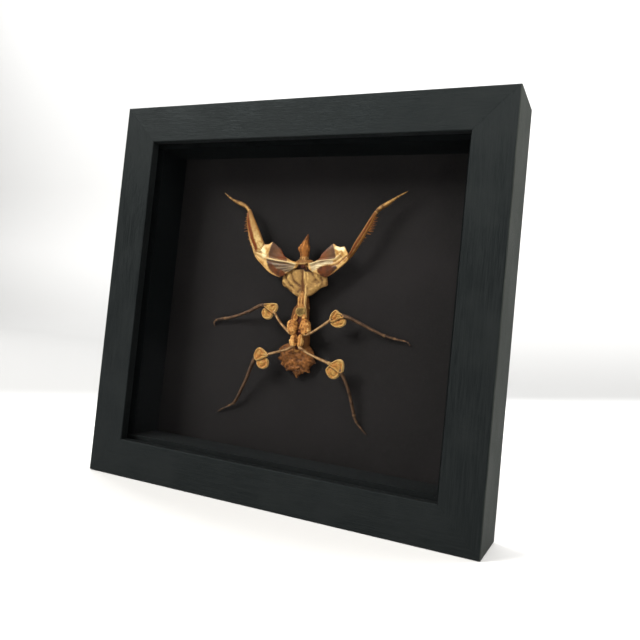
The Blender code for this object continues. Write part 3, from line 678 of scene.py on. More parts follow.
# For each slot of the specimen the maker of its material and what the maker is given
LOOKS = {
    "plate": (plate_cuticle,),
    "left_femur": (femur_cuticle, -0.5, 0.12, 0.4, (196, 168, 112), (150, 110, 60), (96, 38, 5)),
    "right_femur": (femur_cuticle, -0.45, 0.4, 0.0, (132, 96, 52), (94, 60, 28), (96, 52, 18)),
    # tan_cuticle is given a painted highlight colour for crests, a middle colour, a painted shade
    # colour for hollows, a blotch size and a painted shade colour for creases
    "shield": (tan_cuticle, (184, 150, 88), (138, 106, 60), (82, 54, 26), 1.3, (34, 18, 12)),
    "thorax": (tan_cuticle, (186, 140, 82), (142, 98, 50), (80, 46, 20), 1.0),
    "coxa": (tan_cuticle, (202, 156, 92), (162, 110, 56), (96, 56, 24), 0.9),
    "abdomen": (tan_cuticle, (152, 98, 50), (106, 66, 31), (62, 36, 18), 1.0),
    "lobe": (lobe_cuticle,),
    # limb_cuticle is given a light colour, a darker colour used for blotches and as painted shade
    # on a leg's sides, and a joint colour
    "walking_femur": (limb_cuticle, (164, 132, 92), (92, 62, 34), (170, 138, 92)),
    "shin": (limb_cuticle, (94, 70, 50), (46, 32, 24), (116, 88, 60)),
    "head": (tan_cuticle, (168, 112, 54), (132, 82, 36), (68, 38, 16)),
    "collar": (tan_cuticle, (176, 142, 90), (122, 84, 44), (64, 38, 18), 0.9),
    "foretibia": (limb_cuticle, (158, 120, 68), (76, 48, 24), (170, 136, 84)),
    "spine": (limb_cuticle, (142, 92, 44), (92, 52, 22), (150, 106, 56)),
    "diamond": (tan_cuticle, (176, 140, 86), (124, 100, 52), (80, 62, 28), 0.8),
    "crevice": (tan_cuticle, (150, 96, 66), (98, 52, 34), (54, 24, 16), 0.8),
}
SLOTS = tuple(LOOKS)

# Specimen: forelegs
LEFT_PLATE = (
    ((-0.8, 20.2), (-2.6, 17.4)), ((-5.5, 21.2), (-5.6, 16.0)), ((-9.6, 23.3), (-8.2, 13.8)),
    ((-11.9, 26.7), (-11.2, 12.6)), ((-16.7, 30.0), (-15.5, 13.8)), ((-18.9, 28.9), (-18.5, 15.5)),
    ((-21.4, 28.7), (-21.7, 18.2)), ((-23.2, 28.0), (-24.6, 20.6)), ((-24.8, 26.6), (-26.4, 22.6)),
)
LEFT_PATCH = (
    (-16.4, 31.0), (-18.2, 23.6), (-17.6, 22.1), (-13.4, 21.5), (-7.6, 20.6), (-9.0, 25.6),
)
LEFT_RIB = ((-25.1, 24.4), (-19.0, 21.7), (-12.8, 20.7), (-7.6, 20.4), (-2.6, 19.4))
LEFT_WEB = (
    (-19.2, 21.6), (-13.3, 20.8), (-2.6, 19.5), (-4.2, 15.6), (-8.3, 15.1), (-12.8, 16.2),
    (-15.5, 18.0), (-18.8, 19.6),
)
# Lines (across, up) near which a painted highlight whitens the left plate's cream
LEFT_HIGHLIGHT = ((-22.2, 26.6), (-21.4, 25.0), (-20.6, 22.8))
LEFT_FOLDS = (
    ((-28.0, 26.2), (-25.6, 24.4), (-22.6, 24.6)), ((-25.9, 22.9), (-23.0, 20.4), (-20.0, 17.6)),
)
LEFT_BAND = (
    (-19.0, 20.4), (-17.6, 16.9), (-15.4, 14.7), (-12.4, 13.1), (-9.0, 12.2), (-7.2, 14.3),
    (-9.0, 15.9), (-12.8, 16.8), (-14.8, 18.2), (-16.6, 20.2),
)
RIGHT_PLATE = (
    ((3.6, 20.4), (4.6, 17.2)), ((6.8, 21.1), (7.1, 15.9)), ((9.5, 22.9), (10.6, 14.7)),
    ((11.0, 25.7), (13.9, 13.9)), ((15.8, 30.3), (16.2, 15.2)), ((18.0, 29.3), (18.4, 16.9)),
    ((20.1, 28.9), (20.7, 18.9)), ((21.9, 29.3), (22.7, 20.7)), ((23.4, 27.2), (24.0, 22.1)),
    ((24.4, 25.4), (24.8, 23.6)),
)
RIGHT_PATCH = (
    (15.4, 31.0), (17.4, 26.8), (18.0, 23.3), (14.2, 22.1), (10.6, 21.3), (8.8, 22.0), (9.6, 26.0),
)
RIGHT_RIB = ((5.2, 19.9), (9.1, 21.6), (12.5, 22.1), (17.7, 22.8), (20.4, 25.2))
RIGHT_WEB = (
    (5.0, 20.1), (10.2, 21.9), (17.1, 22.6), (16.7, 20.5), (11.6, 19.5), (8.9, 17.4), (6.4, 16.2),
)
# Lines (across, up) near which a painted highlight whitens the right plate's cream
RIGHT_HIGHLIGHT = ((18.4, 28.6), (21.4, 28.0))
RIGHT_FOLDS = (
    ((16.8, 19.6), (19.6, 20.6), (22.0, 23.0), (24.4, 25.2)),
    ((19.2, 25.4), (21.0, 24.2), (22.8, 22.2)),
)
RIGHT_BAND = (
    (9.2, 17.9), (11.1, 19.1), (14.5, 20.0), (18.5, 20.0), (19.6, 18.8), (17.7, 16.8), (15.6, 14.6),
    (13.9, 13.2), (11.6, 13.8), (9.2, 16.3),
)
LEFT_FEMUR = (
    ((-22.0, 25.4), (-26.8, 22.9)), ((-21.4, 28.7), (-28.2, 26.4)), ((-22.7, 31.5), (-30.0, 30.2)),
    ((-24.0, 34.2), (-31.3, 34.4)), ((-26.4, 38.2), (-32.4, 38.6)), ((-28.7, 42.2), (-32.8, 42.2)),
    ((-30.9, 46.2), (-32.7, 45.6)),
)
RIGHT_FEMUR = (
    ((23.6, 24.2), (24.7, 23.2)), ((25.2, 26.6), (27.0, 26.1)), ((26.4, 29.6), (28.8, 28.9)),
    ((27.8, 32.4), (30.8, 32.1)), ((29.4, 35.2), (32.0, 34.8)), ((31.6, 39.2), (34.0, 38.6)),
    ((33.8, 43.2), (35.6, 42.4)), ((35.6, 46.4), (36.9, 45.6)),
)
LEFT_TIBIA = (
    (-31.7, 7.6, 45.2, 0.87), (-34.1, 7.2, 47.6, 1.03), (-37.0, 6.8, 49.0, 1.16),
    (-40.6, 6.4, 50.3, 0.93), (-43.4, 6.0, 51.5, 0.55), (-46.3, 5.6, 53.2, 0.42),
    (-49.2, 5.2, 55.2, 0.18),
)
RIGHT_TIBIA = (
    (35.9, 7.6, 45.4, 0.87), (37.4, 7.3, 47.5, 1.03), (39.4, 7.0, 49.0, 1.16),
    (42.2, 6.6, 51.0, 0.99), (44.2, 6.3, 52.6, 0.59), (46.9, 6.0, 54.4, 0.42),
    (49.8, 5.7, 56.2, 0.18),
)
LEFT_SPINES = (
    ((-32.0, 43.6), (-33.5, 43.9)), ((-31.9, 42.6), (-33.2, 42.8)), ((-31.8, 41.6), (-33.7, 41.9)),
    ((-31.7, 40.7), (-33.3, 40.9)), ((-31.6, 39.7), (-33.9, 39.9)), ((-31.4, 38.8), (-33.4, 38.9)),
    ((-31.2, 37.8), (-34.0, 37.9)), ((-31.0, 37.0), (-33.5, 37.1)), ((-30.8, 36.2), (-33.9, 36.3)),
    ((-30.4, 34.8), (-33.6, 34.7)), ((-29.6, 32.2), (-31.2, 32.6)), ((-29.0, 30.0), (-31.0, 31.0)),
    ((-28.0, 27.4), (-29.4, 28.2)),
)
RIGHT_SPINES = (
    ((35.0, 43.2), (37.5, 43.4)), ((34.8, 42.4), (36.8, 42.5)), ((34.6, 41.6), (37.4, 41.6)),
    ((34.3, 40.8), (36.6, 40.7)), ((34.0, 40.0), (37.0, 39.8)), ((33.7, 39.3), (36.2, 38.9)),
    ((33.4, 38.6), (36.5, 38.1)), ((33.1, 38.0), (35.6, 37.4)), ((32.8, 37.4), (35.9, 36.7)),
    ((32.0, 36.2), (34.7, 35.4)), ((30.6, 34.2), (32.8, 33.6)), ((29.6, 32.6), (31.8, 32.0)),
)
PLATE_OFF = 7.3
FEMUR_OFF = 7.9


def build_plate(edges, patch, rib, web, band, folds, highlight, root, pale, tint_from, tint_to, seed):
    """A broad foreleg plate: membrane between a raised rib and thickened edges."""
    towards = np.array(tint_to) - np.array(tint_from)
    run = float(np.dot(towards, towards))

    def relief(x, z, along, across, rim):
        spread = np.arctan2(z - root[1], x - root[0])
        outside = np.minimum(patch_depth(x, z, web), 0)
        veins = np.sin(spread * VEIN_RATE) * 0.035 * hump(outside, 0.6)
        crumple = rough_noise(x, z, seed, 5.5, 3, seed)
        return (
            0.46 * near(x, z, rib, 0.5)
            - 0.3 * hump(line_distance(x, z, rib) - 1.15, 0.5)
            + 0.22 * hump(rim, 0.45)
            + veins
            + 0.34 * crumple
            - 0.28 * np.clip(patch_depth(x, z, patch) / 2.5, 0, 1)
            - 0.22 * near(x, z, folds[0], 0.4)
        )

    def marks(x, z, along, across, rim):
        # Distance from the plate's folds, along which painted shade darkens it
        fold_shade = np.minimum(line_distance(x, z, folds[0]), line_distance(x, z, folds[1]) + 0.15)
        tint = ((x - tint_from[0]) * towards[0] + (z - tint_from[1]) * towards[1]) / run
        return {
            "patch": patch_depth(x, z, patch),
            "crease": fold_shade,
            "glow": near(x, z, highlight, 1.7),
            "root": np.hypot(x - root[0], z - root[1]),
            "rib": line_distance(x, z, rib),
            "web": patch_depth(x, z, web),
            "band": patch_depth(x, z, band),
            "fan": np.arctan2(z - root[1], x - root[0]),
            "tint": np.clip(tint, 0, 1),
            "pale": pale,
        }

    depths = [1.05] + [0.8] * 6 + [0.75]
    leaf(edges, [PLATE_OFF], depths, 84, 96, "plate", relief, marks, sharp=0.45)


def build_femur(edges, depths, slot, seed):
    def relief(x, z, along, across, rim):
        ridge = 0.32 * hump(across - 0.1, 0.35) * (1 - along * 0.5)
        bumps = 0.16 * rough_noise(x, z, 0, 1.8, 3, seed)
        return ridge + bumps + 0.14 * hump(rim, 0.35)

    off = [6.9, 7.5] + [FEMUR_OFF] * 4
    leaf(edges, off, depths, 60, 40, slot, relief, sharp=0.3, power=3)


def build_spine(root, tip):
    """A tooth, slightly hooked."""
    (ax, az), (bx, bz) = root, tip
    bend = (bz - az) * 0.1, (ax - bx) * 0.1
    middle = ((ax + bx) / 2 + bend[0], (az + bz) / 2 + bend[1])
    stations = (
        (ax, FEMUR_OFF + 0.1, az, 0.36),
        (middle[0], FEMUR_OFF + 0.22, middle[1], 0.25),
        (bx, FEMUR_OFF + 0.1, bz, 0.07),
    )
    limb(stations, 7, 7, "spine")


def segmented(stations, rows, cols, slot, joints, first=0.0):
    """A thin limb, swollen and paler at its joints (places from 0 to 1 along it)."""
    def relief(x, z, along, across, rise):
        rings = sum(hump(along - joint, 0.012) for joint in joints)
        return 0.1 * rings + 0.05 * rough_noise(x, z, across, 0.9, 2, 5)

    def marks(x, z, along, across, rise):
        pale = sum(hump(along - joint, 0.014) for joint in joints) + first * hump(along, 0.05)
        return {"pale": np.clip(pale, 0, 1)}

    limb(stations, rows, cols, slot, relief, marks)


def claw(station_before, station_last):
    """Two tiny hooks at a foot's tip."""
    before, last = np.array(station_before[:3]), np.array(station_last[:3])
    ahead = (last - before) / np.linalg.norm(last - before)
    side = np.array([-ahead[2], 0, ahead[0]])
    for way in (-1, 1):
        middle = last + ahead * 0.35 + side * way * 0.28
        end = last + ahead * 0.6 + side * way * 0.18
        stations = ((*last, 0.16), (*middle, 0.12), (*end, 0.05))
        limb(stations, 5, 5, "shin")


def build_forelegs():
    build_plate(
        LEFT_PLATE, LEFT_PATCH, LEFT_RIB, LEFT_WEB, LEFT_BAND, LEFT_FOLDS, LEFT_HIGHLIGHT,
        root=(0.6, 18.9), pale=0.0, tint_from=(-8.8, 21.5), tint_to=(-17.6, 25.5), seed=3,
    )
    build_plate(
        RIGHT_PLATE, RIGHT_PATCH, RIGHT_RIB, RIGHT_WEB, RIGHT_BAND, RIGHT_FOLDS, RIGHT_HIGHLIGHT,
        root=(2.4, 19.4), pale=1.0, tint_from=(10.0, 22.5), tint_to=(17.8, 25.5), seed=8,
    )
    build_femur(LEFT_FEMUR, [1.25, 1.2, 1.05, 0.95, 0.85, 0.75, 0.6], "left_femur", 4)
    build_femur(RIGHT_FEMUR, [1.9, 1.8, 1.6, 1.5, 1.3, 1.1, 0.9], "right_femur", 9)
    joints = (0.03, 0.62, 0.76, 0.88)
    for tibia in (LEFT_TIBIA, RIGHT_TIBIA):
        segmented(tibia, 56, 10, "foretibia", joints)
    for root, tip in LEFT_SPINES + RIGHT_SPINES:
        build_spine(root, tip)


# Specimen: body
HEAD = (
    (1.1, 5.4, 18.6, 2.1, 1.8), (0.9, 5.8, 22.4, 2.0, 1.8), (0.8, 6.0, 25.2, 2.4, 2.0),
    (0.5, 6.2, 27.3, 2.9, 2.1), (0.8, 6.3, 29.0, 2.1, 1.8), (1.0, 6.3, 31.0, 1.5, 1.4),
    (1.5, 6.3, 33.2, 0.75, 0.8), (1.8, 6.3, 34.6, 0.3, 0.3),
)
COLLAR = (
    (-3.7, 5.8, 19.8, 0.6, 0.6), (-1.8, 6.1, 20.6, 1.3, 1.2), (1.0, 6.3, 20.9, 1.5, 1.5),
    (4.0, 6.1, 21.2, 1.3, 1.2), (5.8, 5.8, 20.9, 0.6, 0.6),
)
SHIELD = (
    ((-3.6, 19.6), (4.8, 20.0)), ((-7.2, 17.2), (9.6, 17.6)), ((-9.7, 14.4), (13.2, 15.0)),
    ((-10.5, 11.2), (14.3, 12.4)), ((-9.6, 8.7), (14.2, 10.1)), ((-7.2, 7.5), (10.8, 8.5)),
    ((-4.3, 5.5), (7.2, 5.4)), ((-0.9, 3.5), (4.2, 3.8)),
)
SHIELD_OFF = 5.4
NECK = (1.4, 21.6)
KEEL = ((1.9, 18.6), (2.2, 16.3), (2.7, 13.0), (3.4, 9.1), (4.0, 5.7), (3.6, 3.8))
KEEL_SIDE = ((3.7, 17.4), (3.9, 15.5), (4.2, 12.6), (4.3, 9.4))
BROWN_STRIP = ((1.0, 16.4), (1.3, 12.0), (1.7, 9.1), (2.0, 6.9), (2.1, 4.4))
NECK_GAP = ((-3.8, 17.9), (-0.7, 18.1), (2.0, 18.2), (2.8, 17.2), (4.8, 17.3), (5.4, 18.6))
SHIELD_RIDGES = (
    ((-6.8, 14.6), (-6.0, 11.8), (-4.1, 9.7), (-1.9, 8.1)),
    ((-9.0, 11.6), (-7.7, 9.4), (-5.3, 7.7), (-2.2, 6.2)),
    ((-2.4, 15.8), (-2.0, 12.8), (-0.8, 10.4)), ((5.6, 7.2), (8.9, 9.3), (12.4, 12.0)),
    ((8.6, 14.6), (9.6, 12.4)),
)
SHIELD_CREASES = (
    ((-8.8, 14.8), (-7.8, 12.4), (-6.0, 9.8), (-3.4, 7.4), (-1.0, 5.8)),
    ((-5.2, 16.0), (-4.6, 13.0), (-3.2, 10.8), (-1.4, 9.2)),
    ((-9.4, 10.2), (-7.6, 8.1), (-4.6, 6.3)), ((5.4, 16.0), (7.0, 15.2), (8.0, 13.2), (7.6, 10.8)),
    ((10.6, 13.8), (11.6, 11.4), (10.4, 9.6)),
)
THORAX = (
    (1.8, 4.6, 6.0, 1.9, 2.2), (2.0, 4.6, 3.2, 2.5, 2.5), (2.0, 4.4, 1.2, 2.9, 2.7),
    (1.85, 4.2, -1.4, 3.5, 2.9), (1.1, 4.1, -4.4, 4.4, 3.0), (1.0, 4.1, -7.6, 4.7, 3.1),
    (1.6, 4.1, -11.2, 5.2, 3.1), (1.9, 4.0, -15.5, 5.0, 3.0), (1.9, 3.8, -19.2, 5.0, 2.9),
    (1.5, 3.6, -22.4, 3.2, 2.4),
)
FLANK_RIMS = (((3.9, 2.0), (4.2, -1.2), (4.7, -6.6)), ((5.0, 2.1), (5.7, -1.9), (6.1, -6.5)))
NECK_BLOCK = (
    ((-0.2, 4.6), (4.4, 4.8)), ((-0.4, 2.8), (4.5, 3.0)), ((-0.3, 0.4), (4.6, 0.6)),
    ((0.2, -1.0), (4.4, -0.8)),
)
DIAMOND = (
    (0.5, -1.7), (2.4, -1.5), (4.0, -1.4), (4.7, -2.6), (4.6, -4.4), (3.6, -5.6), (2.3, -6.3),
    (0.8, -5.5), (-0.4, -4.3), (-0.4, -2.6),
)
SHOULDER_BUMPS = (
    ((0.2, 6.9, -4.9), (-0.7, 6.9, -8.2), 1.2, 1.2), ((4.1, 6.9, -4.7), (4.6, 6.9, -7.8), 1.1, 1.2),
)
CREVICE_BUMPS = (
    ((2.0, 6.2, -7.6), (1.7, 6.2, -9.2), 0.62, 0.8),
    ((2.9, 6.4, -8.6), (2.7, 6.4, -10.6), 0.62, 0.8),
    ((1.9, 6.3, -10.8), (2.2, 6.3, -12.4), 0.6, 0.8),
    ((2.6, 6.4, -12.4), (2.2, 6.4, -14.0), 0.75, 0.8),
)
CREVICE = ((1.7, -6.8), (1.5, -9.2), (2.1, -11.2), (2.1, -13.6), (1.9, -16.0), (1.9, -21.0))
ABDOMEN_OFF = 3.1
ABDOMEN = (
    ((-3.0, -18.6), (5.6, -18.4)), ((-7.4, -20.9), (8.2, -20.9)), ((-9.1, -22.4), (9.6, -22.6)),
    ((-8.4, -25.4), (9.3, -25.2)), ((-9.0, -28.0), (11.0, -27.3)), ((-6.4, -29.6), (9.3, -29.1)),
    ((-6.0, -31.2), (8.3, -30.6)), ((-4.3, -32.8), (8.0, -32.5)), ((-2.6, -31.9), (5.4, -31.8)),
    ((-0.6, -33.4), (4.2, -33.4)), ((1.2, -35.7), (2.2, -35.7)),
)
ABDOMEN_LOBES = (
    ((-7.2, 3.2, -26.4), (-9.6, 2.6, -27.9)), ((-5.4, 3.6, -29.6), (-7.6, 2.6, -30.2)),
    ((-3.2, 3.4, -31.0), (-4.4, 2.2, -33.2)), ((0.6, 3.0, -33.0), (1.7, 2.0, -36.2)),
    ((6.2, 3.4, -30.4), (8.0, 2.2, -32.8)), ((8.0, 3.6, -26.6), (11.1, 2.6, -27.9)),
    ((3.6, 3.6, -31.4), (4.6, 2.4, -33.6)), ((-7.4, 3.6, -22.6), (-9.4, 2.8, -23.4)),
    ((8.0, 3.6, -22.6), (9.8, 2.8, -23.6)),
)
COXAE = (
    ((-1.4, 7.2, -7.7), (-1.2, 7.2, -15.2), 2.9, 2.1, -1),
    ((5.2, 7.2, -7.1), (6.0, 7.2, -14.9), 2.75, 2.1, 1),
    ((0.5, 6.7, -14.8), (-0.2, 6.7, -20.9), 2.1, 1.9, -1),
    ((3.5, 6.7, -14.5), (3.5, 6.7, -21.1), 1.4, 1.8, 1),
)


def bumpy(size, seed):
    """Relief of plain bumps about size millimetres across."""
    def relief(x, z, along, across, rise):
        return 0.2 * rough_noise(x, z, rise, size, 3, seed)
    return relief


def build_head():
    def relief(x, z, along, across, rise):
        eyes = 0.45 * (hump(along - 0.56, 0.05) * hump(np.abs(across) - 0.92, 0.3))
        front = np.clip(rise, 0, 1)
        ridge = 0.28 * hump(across, 0.22) * front * np.clip(along * 3 - 1, 0, 1)
        groove = 0.2 * hump(across - 0.5, 0.18) * front
        return eyes + ridge + 0.16 * rough_noise(x, z, rise, 1.6, 3, 2) - groove

    def marks(x, z, along, across, rise):
        tip = (z - 31.4 + 0.3 * across) * 0.5
        mouth = hump(z - 22.6, 1.3)
        # Painted shade: darker along both sides of the head
        edge = np.where(np.abs(across) > 0.8, 0.2, -FAR)
        # Painted shade: darker at the head's foot, where it shows between the collar and the shield
        return {"pale": 0.55 * mouth, "band": np.maximum(edge, tip), "crease": z - 19.2}

    limb(HEAD, 70, 36, "head", relief, marks)
    egg((-1.9, 6.7, 28.5), (-1.7, 6.7, 26.0), 0.85, 0.9, 14, 14, "head")
    egg((2.8, 6.6, 28.3), (2.9, 6.6, 26.0), 0.75, 0.85, 14, 14, "head")
    for across in (-0.6, 0.9, 2.3):
        egg((across, 7.2, 23.4), (across + 0.1, 7.0, 21.4), 0.6, 0.55, 12, 10, "collar")


def build_collar():
    def relief(x, z, along, across, rise):
        return 0.3 * rough_noise(x, z, rise, 1.5, 3, 6) + 0.24 * hump(across + 0.55, 0.2)

    limb(COLLAR, 48, 24, "collar", relief)
    for root, tip, thick in (
        ((-3.3, 7.3, 19.2), (-0.9, 7.4, 19.5), 0.26),
        ((2.6, 7.2, 19.4), (3.0, 7.0, 17.2), 0.24),
        ((3.7, 7.1, 19.5), (4.1, 6.9, 17.6), 0.22),
    ):
        egg(root, tip, thick, thick, 12, 8, "collar")


def build_shield():
    def relief(x, z, along, across, rim):
        wander = rough_noise(x, z, 0, 4.2, 3, 11)
        crumple = rough_noise(x, z, 5, 1.5, 3, 12)
        wx = x + 1.1 * wander
        wz = z + 0.9 * rough_noise(x, z, 9, 2.6, 3, 13)
        ridges = sum(hump(line_distance(wx, wz, line), 0.75) for line in SHIELD_RIDGES)
        creases = sum(hump(line_distance(wx, wz, line), 0.5) for line in SHIELD_CREASES)
        return (
            0.46 * np.clip(ridges, 0, 1.2)
            - 0.42 * np.clip(creases, 0, 1.2)
            + 0.5 * near(x, z, KEEL, 0.3)
            + 0.34 * near(x, z, KEEL_SIDE, 0.28)
            - 0.45 * near(x, z, BROWN_STRIP, 0.55)
            + 0.3 * wander
            + 0.26 * crumple
            - 0.8 * near(x, z, NECK_GAP, 0.7)
            - 0.36 * hump(rim, 0.5)
        )

    def marks(x, z, along, across, rim):
        keel = near(x, z, KEEL, 0.26) + 0.8 * near(x, z, KEEL_SIDE, 0.24)
        strip = 0.75 - line_distance(x, z, BROWN_STRIP) - 0.5 * np.clip((z - 9) / 6, 0, 1)
        # Painted shade: dark along a line near the shield's top, below the collar
        gap_shade = line_distance(x, z, NECK_GAP) - 0.8
        return {"crease": gap_shade, "band": strip, "pale": np.clip(keel, 0, 1), "rim": FAR}

    depths = [1.5, 1.55, 1.5, 1.35, 1.3, 1.4, 1.6, 1.7]
    leaf(SHIELD, [SHIELD_OFF], depths, 84, 104, "shield", relief, marks, sharp=0.1, power=2.4)


def build_thorax():
    def relief(x, z, along, across, rise):
        front = np.clip(rise * 1.4, 0, 1)
        crumple = 0.42 * rough_noise(x, z, rise * 3, 1.5, 4, 21)
        return crumple - 0.5 * front * near(x, z, CREVICE, 0.8)

    def marks(x, z, along, across, rise):
        low = np.clip((-z - 12) / 3, 0, 1)
        # Painted shade: darker along both flanks, and more widely on the right flank towards the
        # lower end
        shaded_flank = np.maximum((-across - 0.45) * 3, (across - 0.3) * 1.4 - 0.5 + 0.45 * low)
        # Painted shade: dark along the crevice between the coxae, on the side towards the glass
        sunk = np.where(rise > 0.1, line_distance(x, z, CREVICE) - 1.0, FAR)
        pale = hump(np.minimum(*(line_distance(x, z, rim) for rim in FLANK_RIMS)), 0.34)
        return {"crease": sunk, "band": shaded_flank, "pale": pale * (rise > -0.2)}

    def block_relief(x, z, along, across, rim):
        ridges = np.cos((x - 2.2) * 2 * math.pi / 1.55 + 0.8 * rough_noise(x, z, 0, 2.0, 2, 24))
        return 0.24 * ridges * np.clip(rim / 0.5, 0, 1) + 0.2 * rough_noise(x, z, 0, 1.3, 3, 25)

    def block_marks(x, z, along, across, rim):
        return {"pale": hump(x - 4.0, 0.4) * 0.8}

    def plate_relief(x, z, along, across, rim):
        edge = 0.2 * hump(rim - 0.4, 0.3) - 0.16 * np.clip(rim / 1.2, 0, 1)
        return edge + 0.3 * rough_noise(x, z, 0, 1.1, 3, 27)

    limb(THORAX, 100, 60, "thorax", relief, marks)
    depths = [0.5, 1.0, 1.0, 0.5]
    leaf(NECK_BLOCK, [6.3], depths, 36, 36, "thorax", block_relief, block_marks, sharp=0.2)
    pad(DIAMOND, 6.85, 1.2, 14, 40, "diamond", plate_relief)
    for bump in SHOULDER_BUMPS:
        egg(*bump, 18, 16, "coxa", bumpy(1.1, 29))
    for bump in CREVICE_BUMPS:
        egg(*bump, 10, 10, "crevice", bumpy(1.1, 29))


LUMP_OFF = 8.55
COXA_LUMPS = (
    (-2.0, -10.0, 0.9), (0.0, -9.0, 0.8), (-0.3, -11.6, 1.0), (-1.8, -12.4, 0.9),
    (-0.7, -13.7, 1.0), (6.3, -8.2, 0.9), (7.4, -10.2, 0.8), (6.0, -10.6, 1.0), (5.2, -12.3, 0.9),
    (6.8, -13.2, 1.0),
)


def build_coxae():
    for index, (first, second, half_width, half_depth, outer) in enumerate(COXAE):
        def relief(x, z, along, across, rise, seed=31 + index * 3, outer=outer):
            front = np.clip(rise * 1.5, 0, 1)
            lumps = 0.5 * rough_noise(x, z, rise * 2, 1.8, 4, seed)
            lumps += 0.24 - 0.9 * np.abs(rough_noise(x, z, rise, 1.3, 3, seed + 1))
            welt = 0.2 * front * hump(across * outer - 0.66, 0.12)
            return lumps + welt - 0.18 * front * hump(across * outer - 0.42, 0.12)

        def marks(x, z, along, across, rise, outer=outer):
            front = np.clip(rise * 2, 0, 1)
            swell = np.clip(np.sin(along * math.pi) * 1.4, 0, 1)
            line = 0.8 * hump(across * outer - 0.68, 0.1) * swell
            # Painted shade: darker on the side of each coxa that faces its neighbour
            shaded_side = np.clip((-across * outer - 0.72) * 4, 0, 1)
            return {"pale": front * line, "band": np.where(shaded_side > 0.5, 0.1, -FAR)}

        egg(first, second, half_width, half_depth, 36, 32, "coxa", relief, marks, 0.15)
    for index, (across, up, size) in enumerate(COXA_LUMPS):
        top = (across, LUMP_OFF, up + size * 0.9)
        low = (across + 0.1, LUMP_OFF, up - size * 0.9)
        egg(top, low, size, 0.75, 12, 12, "coxa", bumpy(1.0, 80 + index))


def build_abdomen():
    def relief(x, z, along, across, rim):
        broad = rough_noise(x, z, 0, 3.6, 2, 51)
        folds = 1 - np.abs(rough_noise(x, z, 4, 2.2, 4, 57)) * 2.2
        bumps = rough_noise(x, z, 9, 0.9, 3, 59)
        ribs = np.sin(2 * math.pi * (z + 0.8 * broad + 0.08 * (x - 1) ** 2) / 2.9)
        crumple = 0.2 * folds * np.clip(rim / 1.0, 0.25, 1) + 0.1 * ribs + 0.55 * bumps
        return 0.4 * broad + crumple - 0.1 - 0.3 * hump(rim, 0.9)

    def marks(x, z, along, across, rim):
        return {"rim": FAR}

    depths = [1.8, 2.1, 2.2, 2.2, 2.2, 2.0, 1.8, 1.4, 1.1, 0.9, 0.4]
    leaf(ABDOMEN, [ABDOMEN_OFF], depths, 92, 104, "abdomen", relief, marks, sharp=0.55, power=2.2)
    for index, ends in enumerate(ABDOMEN_LOBES):
        egg(*ends, 0.85, 0.7, 14, 12, "abdomen", bumpy(1.2, 60 + index))


